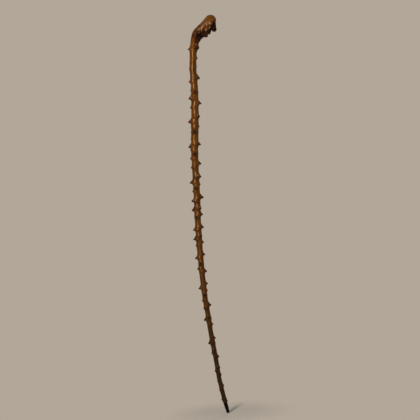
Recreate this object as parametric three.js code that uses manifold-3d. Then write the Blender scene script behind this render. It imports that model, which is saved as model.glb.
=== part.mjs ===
import * as THREE from 'three';
import { mergeVertices } from 'three/addons/utils/BufferGeometryUtils.js';
import Module from 'manifold-3d';

// Knobbly thorn walking stick: one grown piece of wood with its root knob as the handle,
// and a slim metal ferrule on its foot. Millimetres, +Z up the stick, +X towards the nose of
// the handle, -Y the side that carries the eye-like knot. The origin is the middle of the worn
// flat under the ferrule.

// The stick as a whole
const STICK_HEIGHT = 920;
const NECK_OFFSET = 18.1;
const BOW_DEPTH = 28;
const SWAY_DEPTH = 2.5;
const SHANK_RADIUS = 8.6;
const SHANK_RING_STEP = 5.4;

// Root-knob handle
const HANDLE_REACH = 53.9;
const HANDLE_RISE = 65.7;
const NOSE_RADIUS = 12.8;
const HANDLE_HALF_WIDTH = 12.7;
const HANDLE_RING_STEP = 4.2;

// Cut-back thorn stubs, sizes of the largest
const THORN_LENGTH = 8.6;
const THORN_BASE_RADIUS = 5.6;
const THORN_TIP_RADIUS = 1.9;
const THORN_ROOT_DEPTH = 3;
const THORN_ROOT_SPREAD = 1.8;
const THORN_DROOP = THREE.MathUtils.degToRad(22);
const THORN_TURN_SCATTER = THREE.MathUtils.degToRad(26);

// The wood swells towards each thorn: long on the handle's side, short on the foot's side
const SWELL_HEIGHT = 3.4;
const SWELL_RUN_ABOVE = 13;
const SWELL_RUN_BELOW = 7;
const SWELL_SPREAD = THREE.MathUtils.degToRad(125);

// Ferrule
const FERRULE_LENGTH = 25;
const FERRULE_LEAN = THREE.MathUtils.degToRad(12.3);
const SLEEVE_MOUTH_RADIUS = 4.6;
const SLEEVE_TOE_RADIUS = 4;
const SLEEVE_WALL = 0.8;
const SLEEVE_CHAMFER = 0.25;
const SHOULDER_PROUD = 0.3;
const TIP_RADIUS = 3.8;
const TIP_HEAD_LENGTH = 2.4;
const TIP_TANG_LENGTH = 5;
const WEAR_DEPTH = 0.5;
const PIN_RADIUS = 0.7;
const PIN_LENGTH = 3;
const PIN_HEAD_RADIUS = 1.4;
const PIN_HEAD_HEIGHT = 0.7;
const PIN_DROP = 5.5;
const SEAT_GAP = 0.3;
const CUT_OVERRUN = 4;
const GROUND_WIDTH = 16;

// Facets
const WOOD_SIDES = 12;
const THORN_SIDES = 6;
const THORN_STEPS = 2;
const ROOT_SIDES = 10;
const ROOT_STEPS = 2;
const ROOT_CAP_STEPS = 3;
const METAL_SIDES = 24;
const PIN_SIDES = 12;
const DOME_STEPS = 5;
const LENGTH_SAMPLES = 3300;
const HEIGHT_STEPS = 40;
const FAR_SIDE_THORNS = 20;

// Centreline of the shank: share of the way from the ferrule's mouth to the neck, share of the
// bow, share of the sideways sway, share of the way from the foot's radius to the shank's
const shankShares = [
  [0.025, 0.12, 0.1, 0.02],
  [0.068, 0.33, 0.5, 0.05],
  [0.105, 0.42, 0.9, 0.07],
  [0.152, 0.56, 0.6, 0.16],
  [0.2, 0.7, -0.1, 0.2],
  [0.253, 0.81, -0.6, 0.24],
  [0.295, 0.91, -0.9, 0.26],
  [0.346, 0.98, -0.5, 0.4],
  [0.39, 1, 0.2, 0.44],
  [0.447, 1, 0.7, 0.5],
  [0.511, 0.96, 0.9, 0.6],
  [0.585, 0.86, 0.4, 0.68],
  [0.65, 0.8, -0.3, 0.73],
  [0.703, 0.73, -0.8, 0.86],
  [0.758, 0.58, -0.6, 0.95],
  [0.817, 0.42, 0, 0.97],
  [0.872, 0.31, 0.5, 0.86],
  [0.927, 0.29, 0.4, 0.82],
  [0.955, 0.23, 0.2, 0.8],
  [0.98, 0.14, 0.1, 0.9],
];

// Centreline of the handle: shares of the reach and rise from the neck to the nose's centre,
// share of the nose's radius, share of the half width
const handleShares = [
  [0, 0, 0.75, 0.68],
  [0.059, 0.28, 0.71, 0.66],
  [0.157, 0.474, 0.72, 0.7],
  [0.359, 0.61, 0.78, 0.8],
  [0.713, 0.815, 0.88, 0.92],
  [1, 1, 1, 1],
];

// Root stubs and ridges of the handle. Each passes through places given as shares of the reach,
// the rise and the half width, with its radius at each as a share of the nose's radius
const rootShares = [
  [[1.024, 0.921, -0.16, 0.82], [1.131, 0.732, -0.31, 0.53], [1.161, 0.573, -0.35, 0.44]],
  [
    [0.878, 0.94, -0.16, 0.55],
    [0.964, 0.826, -0.47, 0.625],
    [0.932, 0.656, -0.66, 0.42],
    [0.854, 0.429, -0.63, 0.3],
  ],
  [
    [0.696, 0.902, -0.24, 0.39],
    [0.776, 0.845, -0.52, 0.51],
    [0.723, 0.637, -0.69, 0.39],
    [0.681, 0.323, -0.55, 0.34],
  ],
  [
    [0.465, 0.779, -0.24, 0.35],
    [0.552, 0.732, -0.5, 0.45],
    [0.474, 0.58, -0.68, 0.39],
    [0.499, 0.391, -0.47, 0.36],
  ],
  [[0.328, 0.486, -0.24, 0.52], [0.314, 0.448, -0.65, 0.41], [0.314, 0.437, -0.8, 0.36]],
  [
    [0.732, 0.902, 0.12, 0.51],
    [0.83, 0.788, 0.4, 0.6],
    [0.878, 0.637, 0.6, 0.47],
    [0.864, 0.486, 0.51, 0.3],
  ],
  [
    [0.538, 0.788, 0.16, 0.47],
    [0.635, 0.713, 0.42, 0.55],
    [0.635, 0.524, 0.6, 0.46],
    [0.645, 0.391, 0.51, 0.31],
  ],
  [
    [0.367, 0.637, 0.12, 0.47],
    [0.44, 0.561, 0.35, 0.56],
    [0.392, 0.429, 0.51, 0.45],
    [0.404, 0.325, 0.39, 0.36],
  ],
  [
    [0.951, 0.769, 0, 0.625],
    [0.781, 0.561, 0, 0.55],
    [0.611, 0.44, 0, 0.5],
    [0.428, 0.325, 0, 0.375],
  ],
  [[0.319, 0.448, 0, 0.625], [0.307, 0.259, -0.08, 0.42], [0.163, 0.07, -0.08, 0.31]],
];

// The least thorn against the largest, the way its sides curve in towards the cut, and how
// broad it is along the stem and across it
const leastThornShare = 0.2;
const thornCurvePower = 1.35;
const thornAlongShare = 1.14;
const thornAcrossShare = 0.92;

// Thorns that lean towards the nose's side, and those on the opposite side: share of the way
// up the shank, share of the largest size
const noseSideThornShares = [
  [0.004, 0.3], [0.046, 0.6], [0.077, 0.6], [0.097, 0.4], [0.127, 0.75], [0.166, 0.2],
  [0.18, 0.85], [0.219, 0.7], [0.235, 0.4], [0.272, 1.05], [0.314, 0.4], [0.332, 0.9],
  [0.367, 0.9], [0.414, 0.75], [0.448, 0.75], [0.49, 1], [0.526, 0.8], [0.573, 1.15],
  [0.61, 0.3], [0.667, 0.85], [0.721, 0.85], [0.772, 0.3], [0.835, 0.8], [0.905, 1],
  [0.961, 0.35],
];
const bowSideThornShares = [
  [0.009, 0.45], [0.035, 0.45], [0.089, 0.55], [0.139, 0.45], [0.168, 0.95], [0.233, 1.05],
  [0.266, 0.55], [0.287, 0.6], [0.321, 1.2], [0.375, 0.6], [0.405, 1], [0.44, 0.5],
  [0.458, 1], [0.484, 0.85], [0.538, 1], [0.564, 0.9], [0.591, 0.4], [0.615, 1],
  [0.657, 0.35], [0.682, 0.4], [0.706, 0.3], [0.714, 0.9], [0.783, 0.85], [0.824, 0.4],
  [0.848, 0.85], [0.896, 0.5], [0.93, 0.1], [0.984, 0.5],
];

// Thorns of the near side, each also with how far round it grows, in degrees towards the nose
const nearSideThornShares = [
  [0.099, 0.6, 28], [0.146, 0.6, 5], [0.24, 0.6, 2], [0.302, 0.7, 1], [0.389, 0.7, -5],
  [0.466, 0.65, 30], [0.519, 0.45, -17], [0.544, 0.75, 46], [0.599, 0.6, -8],
  [0.631, 1.2, 50], [0.695, 0.6, 2], [0.755, 0.6, -4], [0.798, 0.8, 46], [0.865, 0.6, 6],
  [0.99, 0.95, 44],
];

// The far side isn't seen, so its thorns follow each other by a rule: how far they stray from
// even steps, and their middle size and its spread
const farStrayShare = 0.3;
const farStrayPace = 5;
const farMiddleShare = 0.7;
const farSpreadShare = 0.25;
const farSpreadPace = 2.3;

// Places worked out from the sizes
const depthAxis = new THREE.Vector3(0, 1, 0);
const neckHeight = STICK_HEIGHT - HANDLE_RISE;
const neck = new THREE.Vector3(-NECK_OFFSET, 0, neckHeight);
const nose = new THREE.Vector3(
  HANDLE_REACH - NECK_OFFSET - NOSE_RADIUS,
  0,
  STICK_HEIGHT - NOSE_RADIUS,
);
const footAxis = new THREE.Vector3(-Math.sin(FERRULE_LEAN), 0, Math.cos(FERRULE_LEAN));
const tipCentre = new THREE.Vector3(0, 0, TIP_RADIUS - WEAR_DEPTH);
const mouthHeight = FERRULE_LENGTH - TIP_RADIUS;
const mouth = tipCentre.clone().addScaledVector(footAxis, mouthHeight);
const footRadius = SLEEVE_MOUTH_RADIUS + SHOULDER_PROUD;
const shoulderHeight = mouthHeight + SEAT_GAP;
const shoulder = tipCentre.clone().addScaledVector(footAxis, shoulderHeight);

const wasm = await Module();
wasm.setup();

// Turn a closed geometry into a solid that can be joined and cut
function solidOf(geometry) {
  const bare = geometry.clone();
  bare.deleteAttribute('normal');
  bare.deleteAttribute('uv');
  const merged = mergeVertices(bare);
  return new wasm.Manifold(new wasm.Mesh({
    numProp: 3,
    vertProperties: merged.attributes.position.array,
    triVerts: Uint32Array.from(merged.index.array),
  }));
}

// Turn a solid back into a geometry
function geometryOf(solid) {
  const mesh = solid.getMesh();
  const geometry = new THREE.BufferGeometry();
  geometry.setAttribute('position', new THREE.BufferAttribute(mesh.vertProperties, 3));
  geometry.setIndex(new THREE.BufferAttribute(mesh.triVerts, 1));
  geometry.computeVertexNormals();
  return geometry;
}

// Close a stack of rings of points into one body, with a point at each end
function skin(rings, lowPole, highPole) {
  const sides = rings[0].length;
  const points = [...rings.flat(), lowPole, highPole];
  const low = points.length - 2;
  const high = points.length - 1;
  const last = (rings.length - 1) * sides;
  const triangles = [];
  for (let side = 0; side < sides; side += 1) {
    const next = (side + 1) % sides;
    triangles.push(low, next, side);
    triangles.push(high, last + side, last + next);
    for (let ring = 0; ring < last; ring += sides) {
      triangles.push(ring + side, ring + next, ring + sides + next);
      triangles.push(ring + side, ring + sides + next, ring + sides + side);
    }
  }
  const geometry = new THREE.BufferGeometry().setFromPoints(points);
  geometry.setIndex(triangles);
  return geometry;
}

// The centreline, and beside it the radii in the plane of the bow and across it
const spinePoints = [shoulder.clone()];
const girths = [new THREE.Vector2(footRadius, footRadius)];
for (const [heightShare, bowShare, swayShare, girthShare] of shankShares) {
  const point = new THREE.Vector3().lerpVectors(shoulder, neck, heightShare);
  point.x -= BOW_DEPTH * bowShare;
  point.y += SWAY_DEPTH * swayShare;
  spinePoints.push(point);
  const radius = THREE.MathUtils.lerp(footRadius, SHANK_RADIUS, girthShare);
  girths.push(new THREE.Vector2(radius, radius));
}
for (const [reachShare, riseShare, girthShare, widthShare] of handleShares) {
  spinePoints.push(new THREE.Vector3(
    THREE.MathUtils.lerp(neck.x, nose.x, reachShare),
    0,
    THREE.MathUtils.lerp(neck.z, nose.z, riseShare),
  ));
  girths.push(new THREE.Vector2(NOSE_RADIUS * girthShare, HANDLE_HALF_WIDTH * widthShare));
}
const spine = new THREE.CatmullRomCurve3(spinePoints, false, 'centripetal');
spine.arcLengthDivisions = LENGTH_SAMPLES;
const girthCurve = new THREE.SplineCurve(girths);

// Where the centreline is at a share of its length: its centre, radii and directions. The
// first direction points to the nose's side, and under the handle, and the second across
function stationAt(lengthShare) {
  const along = spine.getTangentAt(lengthShare);
  const outward = new THREE.Vector3().crossVectors(depthAxis, along).normalize();
  return {
    centre: spine.getPointAt(lengthShare),
    radii: girthCurve.getPoint(spine.getUtoTmapping(lengthShare)),
    along,
    outward,
    across: new THREE.Vector3().crossVectors(along, outward),
    length: lengthShare * spine.getLength(),
  };
}

// The centreline always rises, so a height gives one station
function stationAtHeight(height) {
  let low = 0;
  let high = 1;
  for (let step = 0; step < HEIGHT_STEPS; step += 1) {
    const middle = (low + high) / 2;
    if (spine.getPointAt(middle).z < height) {
      low = middle;
    } else {
      high = middle;
    }
  }
  return stationAt(low);
}

// Every thorn: its station, the turn round the stick at which it grows, and its size. The
// turns scatter about their side, except where the table gives them
function thornsOf(shares, sideTurn) {
  return shares.map(([heightShare, sizeShare, lean], count) => {
    const station = stationAtHeight(THREE.MathUtils.lerp(shoulder.z, neck.z, heightShare));
    const scatter = THORN_TURN_SCATTER * Math.sin(count * count + sideTurn);
    const turn = sideTurn + (lean === undefined ? scatter : THREE.MathUtils.degToRad(lean));
    const stemShare = station.radii.x / SHANK_RADIUS;
    const size = stemShare * THREE.MathUtils.lerp(leastThornShare, 1, sizeShare);
    return { station, turn, size };
  });
}
const farSideThornShares = Array.from({ length: FAR_SIDE_THORNS }, (_, count) => {
  const stray = 1 / 2 + farStrayShare * Math.sin(count * farStrayPace);
  const size = farMiddleShare + farSpreadShare * Math.sin(count * farSpreadPace);
  return [(count + stray) / FAR_SIDE_THORNS, size];
});
const thorns = [
  ...thornsOf(noseSideThornShares, 0),
  ...thornsOf(farSideThornShares, Math.PI / 2),
  ...thornsOf(bowSideThornShares, Math.PI),
  ...thornsOf(nearSideThornShares, Math.PI * 1.5),
];

// How far the wood swells at a place, from the thorns round it
function swellAt(length, turn) {
  let swell = 0;
  for (const thorn of thorns) {
    const rise = length - thorn.station.length;
    const run = rise > 0 ? SWELL_RUN_ABOVE : SWELL_RUN_BELOW;
    const gap = turn - thorn.turn;
    const away = Math.abs(Math.atan2(Math.sin(gap), Math.cos(gap)));
    const alongShare = Math.max(0, 1 - Math.abs(rise) / run);
    const aroundShare = Math.max(0, 1 - away / SWELL_SPREAD);
    const share = THREE.MathUtils.smoothstep(alongShare * aroundShare, 0, 1);
    swell = Math.max(swell, SWELL_HEIGHT * thorn.size * share);
  }
  return swell;
}

// One ring of points round a station, shrunk towards its centre for the domed nose
function ringAt(station, shrink) {
  return Array.from({ length: WOOD_SIDES }, (_, side) => {
    const turn = (side / WOOD_SIDES) * Math.PI * 2;
    const swell = swellAt(station.length, turn);
    return station.centre.clone()
      .addScaledVector(station.outward, (station.radii.x + swell) * shrink * Math.cos(turn))
      .addScaledVector(station.across, (station.radii.y + swell) * shrink * Math.sin(turn));
  });
}

// The grown body: rings along the centreline, then the dome of the nose
function grownBody() {
  const length = spine.getLength();
  const neckShare = stationAtHeight(neck.z).length / length;
  const shankRings = Math.ceil((length * neckShare) / SHANK_RING_STEP);
  const handleRings = Math.ceil((length * (1 - neckShare)) / HANDLE_RING_STEP);
  const rings = [];
  for (let ring = 0; ring < shankRings; ring += 1) {
    rings.push(ringAt(stationAt((neckShare * ring) / shankRings), 1));
  }
  for (let ring = 0; ring < handleRings; ring += 1) {
    rings.push(ringAt(stationAt(neckShare + ((1 - neckShare) * ring) / handleRings), 1));
  }
  const end = stationAt(1);
  for (let step = 0; step < DOME_STEPS; step += 1) {
    const angle = (step / DOME_STEPS) * (Math.PI / 2);
    const station = { ...end, centre: end.centre.clone() };
    station.centre.addScaledVector(end.along, NOSE_RADIUS * Math.sin(angle));
    rings.push(ringAt(station, Math.cos(angle)));
  }
  const top = end.centre.clone().addScaledVector(end.along, NOSE_RADIUS);
  return skin(rings, shoulder, top);
}

// A thorn stub: a peg rooted in the wood, broader along the stem than across it, whose sides
// curve in to the cut end, drooping towards the foot
function thornStub({ station, turn, size }) {
  const side = new THREE.Vector3()
    .addScaledVector(station.outward, Math.cos(turn))
    .addScaledVector(station.across, Math.sin(turn));
  const axis = side.clone().multiplyScalar(Math.cos(THORN_DROOP))
    .addScaledVector(station.along, -Math.sin(THORN_DROOP));
  const stem = station.along.clone().projectOnPlane(axis).normalize();
  const profile = [new THREE.Vector2(0, -THORN_ROOT_DEPTH)];
  for (let step = 0; step <= THORN_STEPS; step += 1) {
    const share = step / THORN_STEPS;
    const flare = THORN_BASE_RADIUS + THORN_ROOT_SPREAD - THORN_TIP_RADIUS;
    profile.push(new THREE.Vector2(
      THORN_TIP_RADIUS + flare * (1 - share) ** thornCurvePower,
      THREE.MathUtils.lerp(-THORN_ROOT_DEPTH, THORN_LENGTH, share),
    ));
  }
  profile.push(new THREE.Vector2(0, THORN_LENGTH));
  const peg = new THREE.LatheGeometry(profile, THORN_SIDES);
  peg.scale(size * thornAlongShare, size, size * thornAcrossShare);
  const flank = new THREE.Vector3().crossVectors(stem, axis);
  peg.applyMatrix4(new THREE.Matrix4().makeBasis(stem, axis, flank));
  const foot = station.centre.clone()
    .addScaledVector(side, station.radii.x)
    .addScaledVector(station.along, THORN_LENGTH * size * Math.sin(THORN_DROOP));
  peg.translate(foot.x, foot.y, foot.z);
  return peg;
}

// A root stub or ridge: a round-ended bar along a curve through its places
function rootBar(shares) {
  const places = shares.map(([reachShare, riseShare, widthShare]) => new THREE.Vector3(
    THREE.MathUtils.lerp(neck.x, nose.x, reachShare),
    HANDLE_HALF_WIDTH * widthShare,
    THREE.MathUtils.lerp(neck.z, nose.z, riseShare),
  ));
  const curve = new THREE.CatmullRomCurve3(places, false, 'centripetal');
  const girth = new THREE.SplineCurve(shares.map(([, , , radiusShare], count) => (
    new THREE.Vector2(count, NOSE_RADIUS * radiusShare)
  )));
  const ringOf = (share, overshoot, shrink) => {
    const along = curve.getTangent(share);
    const first = new THREE.Vector3().crossVectors(depthAxis, along).normalize();
    const second = new THREE.Vector3().crossVectors(along, first);
    const radius = girth.getPoint(share).y;
    const centre = curve.getPoint(share).addScaledVector(along, radius * overshoot);
    return Array.from({ length: ROOT_SIDES }, (_, side) => {
      const turn = (side / ROOT_SIDES) * Math.PI * 2;
      return centre.clone()
        .addScaledVector(first, radius * shrink * Math.cos(turn))
        .addScaledVector(second, radius * shrink * Math.sin(turn));
    });
  };
  const rings = [];
  for (let step = 1; step < ROOT_CAP_STEPS; step += 1) {
    const angle = (step / ROOT_CAP_STEPS) * (Math.PI / 2);
    rings.push(ringOf(0, -Math.cos(angle), Math.sin(angle)));
  }
  const lengthSteps = (places.length - 1) * ROOT_STEPS;
  for (let step = 0; step <= lengthSteps; step += 1) {
    rings.push(ringOf(step / lengthSteps, 0, 1));
  }
  for (let step = 1; step < ROOT_CAP_STEPS; step += 1) {
    const angle = (step / ROOT_CAP_STEPS) * (Math.PI / 2);
    rings.push(ringOf(1, Math.sin(angle), Math.cos(angle)));
  }
  const [low] = ringOf(0, -1, 0);
  const [high] = ringOf(1, 1, 0);
  return skin(rings, low, high);
}

// A turned piece of the ferrule, from radius and height pairs, set on the ferrule's axis
const ferruleTurn = new THREE.Quaternion().setFromUnitVectors(depthAxis, footAxis);
function turned(profile, sides = METAL_SIDES) {
  const points = profile.map(([radius, height]) => new THREE.Vector2(radius, height));
  const geometry = new THREE.LatheGeometry(points, sides);
  geometry.applyQuaternion(ferruleTurn);
  geometry.translate(tipCentre.x, tipCentre.y, tipCentre.z);
  return geometry;
}

// Sleeve radii at a height over the tip's centre
const sleeveFoot = TIP_HEAD_LENGTH + SEAT_GAP;
function sleeveRadiusAt(height) {
  const share = (height - sleeveFoot) / (mouthHeight - sleeveFoot);
  return THREE.MathUtils.lerp(SLEEVE_TOE_RADIUS, SLEEVE_MOUTH_RADIUS, share);
}
function boreRadiusAt(height) {
  return sleeveRadiusAt(height) - SLEEVE_WALL;
}

// The pin and its hole, along +Y from the ferrule's axis
const pinHeight = mouthHeight - PIN_DROP;
const pinPlace = tipCentre.clone().addScaledVector(footAxis, pinHeight);
const pinSeat = sleeveRadiusAt(pinHeight) + SEAT_GAP;
function pinGeometry() {
  const points = [
    new THREE.Vector2(0, pinSeat - PIN_LENGTH),
    new THREE.Vector2(PIN_RADIUS / 2, pinSeat - PIN_LENGTH),
    new THREE.Vector2(PIN_RADIUS, pinSeat - PIN_LENGTH + PIN_RADIUS),
    new THREE.Vector2(PIN_RADIUS, pinSeat),
    new THREE.Vector2(PIN_HEAD_RADIUS, pinSeat),
    new THREE.Vector2(PIN_HEAD_RADIUS, pinSeat + PIN_HEAD_HEIGHT / 3),
    new THREE.Vector2(PIN_HEAD_RADIUS / 2, pinSeat + PIN_HEAD_HEIGHT),
    new THREE.Vector2(0, pinSeat + PIN_HEAD_HEIGHT),
  ];
  const geometry = new THREE.LatheGeometry(points, PIN_SIDES);
  geometry.translate(pinPlace.x, pinPlace.y, pinPlace.z);
  return geometry;
}
function pinHole() {
  const depth = PIN_LENGTH + CUT_OVERRUN + SEAT_GAP * 2;
  const radius = PIN_RADIUS + SEAT_GAP;
  const hole = new THREE.CylinderGeometry(radius, radius, depth, PIN_SIDES);
  hole.translate(pinPlace.x, pinSeat - PIN_LENGTH - SEAT_GAP + depth / 2, pinPlace.z);
  return solidOf(hole);
}

// The spigot: the foot of the wood inside the sleeve, rooted in the shank
function spigot() {
  const low = TIP_HEAD_LENGTH + TIP_TANG_LENGTH + SEAT_GAP;
  const high = shoulderHeight + THORN_ROOT_DEPTH;
  return turned([
    [0, low],
    [boreRadiusAt(low) - SEAT_GAP, low],
    [boreRadiusAt(mouthHeight) - SEAT_GAP, mouthHeight],
    [boreRadiusAt(mouthHeight) - SEAT_GAP, high],
    [0, high],
  ], WOOD_SIDES);
}

// The whole wooden piece
function woodGeometry() {
  let wood = solidOf(grownBody());
  for (const shares of rootShares) {
    wood = wood.add(solidOf(rootBar(shares)));
  }
  for (const thorn of thorns) {
    wood = wood.add(solidOf(thornStub(thorn)));
  }
  wood = wood.add(solidOf(spigot())).subtract(pinHole());
  return geometryOf(wood);
}

// The sleeve: a tapered tube with its edges broken, and the pin's hole in its far side
function sleeveGeometry() {
  const tube = turned([
    [boreRadiusAt(sleeveFoot), sleeveFoot],
    [SLEEVE_TOE_RADIUS - SLEEVE_CHAMFER, sleeveFoot],
    [SLEEVE_TOE_RADIUS, sleeveFoot + SLEEVE_CHAMFER],
    [SLEEVE_MOUTH_RADIUS, mouthHeight - SLEEVE_CHAMFER],
    [SLEEVE_MOUTH_RADIUS - SLEEVE_CHAMFER, mouthHeight],
    [boreRadiusAt(mouthHeight), mouthHeight],
    [boreRadiusAt(sleeveFoot), sleeveFoot],
  ]);
  return geometryOf(solidOf(tube).subtract(pinHole()));
}

// The tip: a domed toe with a tang in the sleeve, worn flat where it meets the ground
function tipGeometry() {
  const profile = [[0, -TIP_RADIUS]];
  for (let step = 1; step <= DOME_STEPS; step += 1) {
    const angle = (step / DOME_STEPS) * (Math.PI / 2);
    profile.push([TIP_RADIUS * Math.sin(angle), -TIP_RADIUS * Math.cos(angle)]);
  }
  const tangTop = TIP_HEAD_LENGTH + TIP_TANG_LENGTH;
  const tangRadius = boreRadiusAt(sleeveFoot) - SEAT_GAP;
  profile.push([TIP_RADIUS, TIP_HEAD_LENGTH]);
  profile.push([tangRadius, TIP_HEAD_LENGTH]);
  profile.push([tangRadius, tangTop]);
  profile.push([0, tangTop]);
  const ground = new THREE.BoxGeometry(GROUND_WIDTH, GROUND_WIDTH, CUT_OVERRUN);
  ground.translate(0, 0, -CUT_OVERRUN / 2);
  return geometryOf(solidOf(turned(profile)).subtract(solidOf(ground)));
}

// Finishes
function finish(color, roughness, metalness) {
  return new THREE.MeshStandardMaterial({ color, roughness, metalness });
}
const varnishedWood = finish(0x8a5420, 0.3, 0);
const blackenedMetal = finish(0x17130d, 0.55, 0.6);
const wornIron = finish(0x1f1c18, 0.5, 0.8);
const pinBrass = finish(0x6a5434, 0.4, 0.9);

function named(name, geometry, material) {
  const mesh = new THREE.Mesh(geometry, material);
  mesh.name = name;
  return mesh;
}

const group = new THREE.Group();
group.add(named('thorn_stick', woodGeometry(), varnishedWood));
group.add(named('ferrule_sleeve', sleeveGeometry(), blackenedMetal));
group.add(named('ferrule_tip', tipGeometry(), wornIron));
group.add(named('ferrule_pin', pinGeometry(), pinBrass));

export default group;
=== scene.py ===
"""Looks of a knobbly thorn walking stick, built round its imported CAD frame.

One grown piece of varnished wood, with cut-back thorns up the shank and the root knob as its
handle, stands on a slim black ferrule. Metres, +Z up the stick, +X towards the nose of the
handle, -Y the side that carries the eye-like knot.
"""

import sys

import logging
import math
from dataclasses import dataclass
from enum import Enum
from typing import Callable, Sequence

import bpy
import numpy as np
from mathutils import Matrix, Vector


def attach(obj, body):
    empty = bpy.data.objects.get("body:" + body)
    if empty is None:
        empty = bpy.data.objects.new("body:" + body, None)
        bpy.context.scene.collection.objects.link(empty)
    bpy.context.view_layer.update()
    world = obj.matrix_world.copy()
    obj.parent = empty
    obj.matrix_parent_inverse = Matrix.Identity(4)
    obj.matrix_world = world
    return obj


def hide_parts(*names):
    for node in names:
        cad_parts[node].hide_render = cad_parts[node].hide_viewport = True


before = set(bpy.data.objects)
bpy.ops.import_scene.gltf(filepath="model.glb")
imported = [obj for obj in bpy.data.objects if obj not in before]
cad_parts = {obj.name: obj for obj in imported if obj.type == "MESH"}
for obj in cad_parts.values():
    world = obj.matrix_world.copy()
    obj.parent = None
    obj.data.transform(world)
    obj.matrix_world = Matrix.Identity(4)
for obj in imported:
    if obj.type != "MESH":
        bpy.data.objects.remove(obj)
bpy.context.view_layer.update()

log = logging.getLogger("walking_stick")

MM = 0.001
BODY = "root"
FULL_TURN = 2 * math.pi
SIDEWAYS = np.array([0.0, 1.0, 0.0])
Colour = tuple[float, float, float]
Skin = tuple[np.ndarray, list]
Value = "Wire | float | Sequence[float]"


class Node(Enum):
    """Names of the CAD nodes that the pieces stand for."""

    WOOD = "thorn_stick"
    SLEEVE = "ferrule_sleeve"
    TIP = "ferrule_tip"
    PIN = "ferrule_pin"


class Slot(Enum):
    """Names of the record's material slots."""

    WOOD = "varnished_wood"
    SLEEVE = "blackened_metal"
    TIP = "worn_iron"
    PIN = "pin_metal"


class Mark(Enum):
    """Names of the numbers and vectors that a mesh's points carry."""

    PLACE = "grain_place"
    RISE = "stick_rise"
    TIP = "stub_tip"
    COLLAR = "stub_collar"
    RING = "dark_ring"
    BARK = "root_bark"
    FLUSH = "bark_flush"
    NECK_BAND = "dark_neck_band"
    DULL = "neck_dull"
    PAINTED_HIGHLIGHT = "painted_pale_highlight"
    HOLLOW = "wood_hollow"
    WEAR = "wear"
    AXIS = "stub_axis"
    STEM_WAY = "stem_way"
    SIZE = "stub_size"


def written(red: int, green: int, blue: int) -> Colour:
    """Turn a colour as it is seen on a screen into the linear one that nodes take."""
    shares = (part / 255 for part in (red, green, blue))
    return tuple(s / 12.92 if s <= 0.04045 else ((s + 0.055) / 1.055) ** 2.4 for s in shares)


# Node trees


def maths(operation: str, swapped: bool = False) -> Callable[["Wire", Value], "Wire"]:
    """Make the method that an operator on wires stands for.

    Args:
        operation: the operation of its Math node.
        swapped: whether the other value comes first, as in 1 - wire.

    Returns:
        The method.
    """

    def method(wire: "Wire", other: Value) -> "Wire":
        """The wire and the other value through a Math node."""
        values = (other, wire) if swapped else (wire, other)
        return wire.tree.node("ShaderNodeMath", {"operation": operation}, dict(enumerate(values)))

    return method


class Wire:
    """A socket of a node tree on which maths is written as Python expressions."""

    __add__, __radd__ = maths("ADD"), maths("ADD", True)
    __sub__, __rsub__ = maths("SUBTRACT"), maths("SUBTRACT", True)
    __mul__, __rmul__ = maths("MULTIPLY"), maths("MULTIPLY", True)
    __truediv__, __rtruediv__ = maths("DIVIDE"), maths("DIVIDE", True)
    __pow__, __rpow__ = maths("POWER"), maths("POWER", True)
    most = maths("MAXIMUM")

    def __init__(self, tree: "Tree", socket: bpy.types.NodeSocket) -> None:
        """Keep the socket and the tree that it belongs to."""
        self.tree = tree
        self.socket = socket

    def eased(self, low: float, high: float) -> "Wire":
        """A smooth step of this, nought at low and one at high."""
        values = {"Value": self, "From Min": low, "From Max": high}
        return self.tree.node("ShaderNodeMapRange", {"interpolation_type": "SMOOTHSTEP"}, values)

    def beside(self, output: str) -> "Wire":
        """Another output of the node that this one comes from."""
        return Wire(self.tree, self.socket.node.outputs[output])


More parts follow.
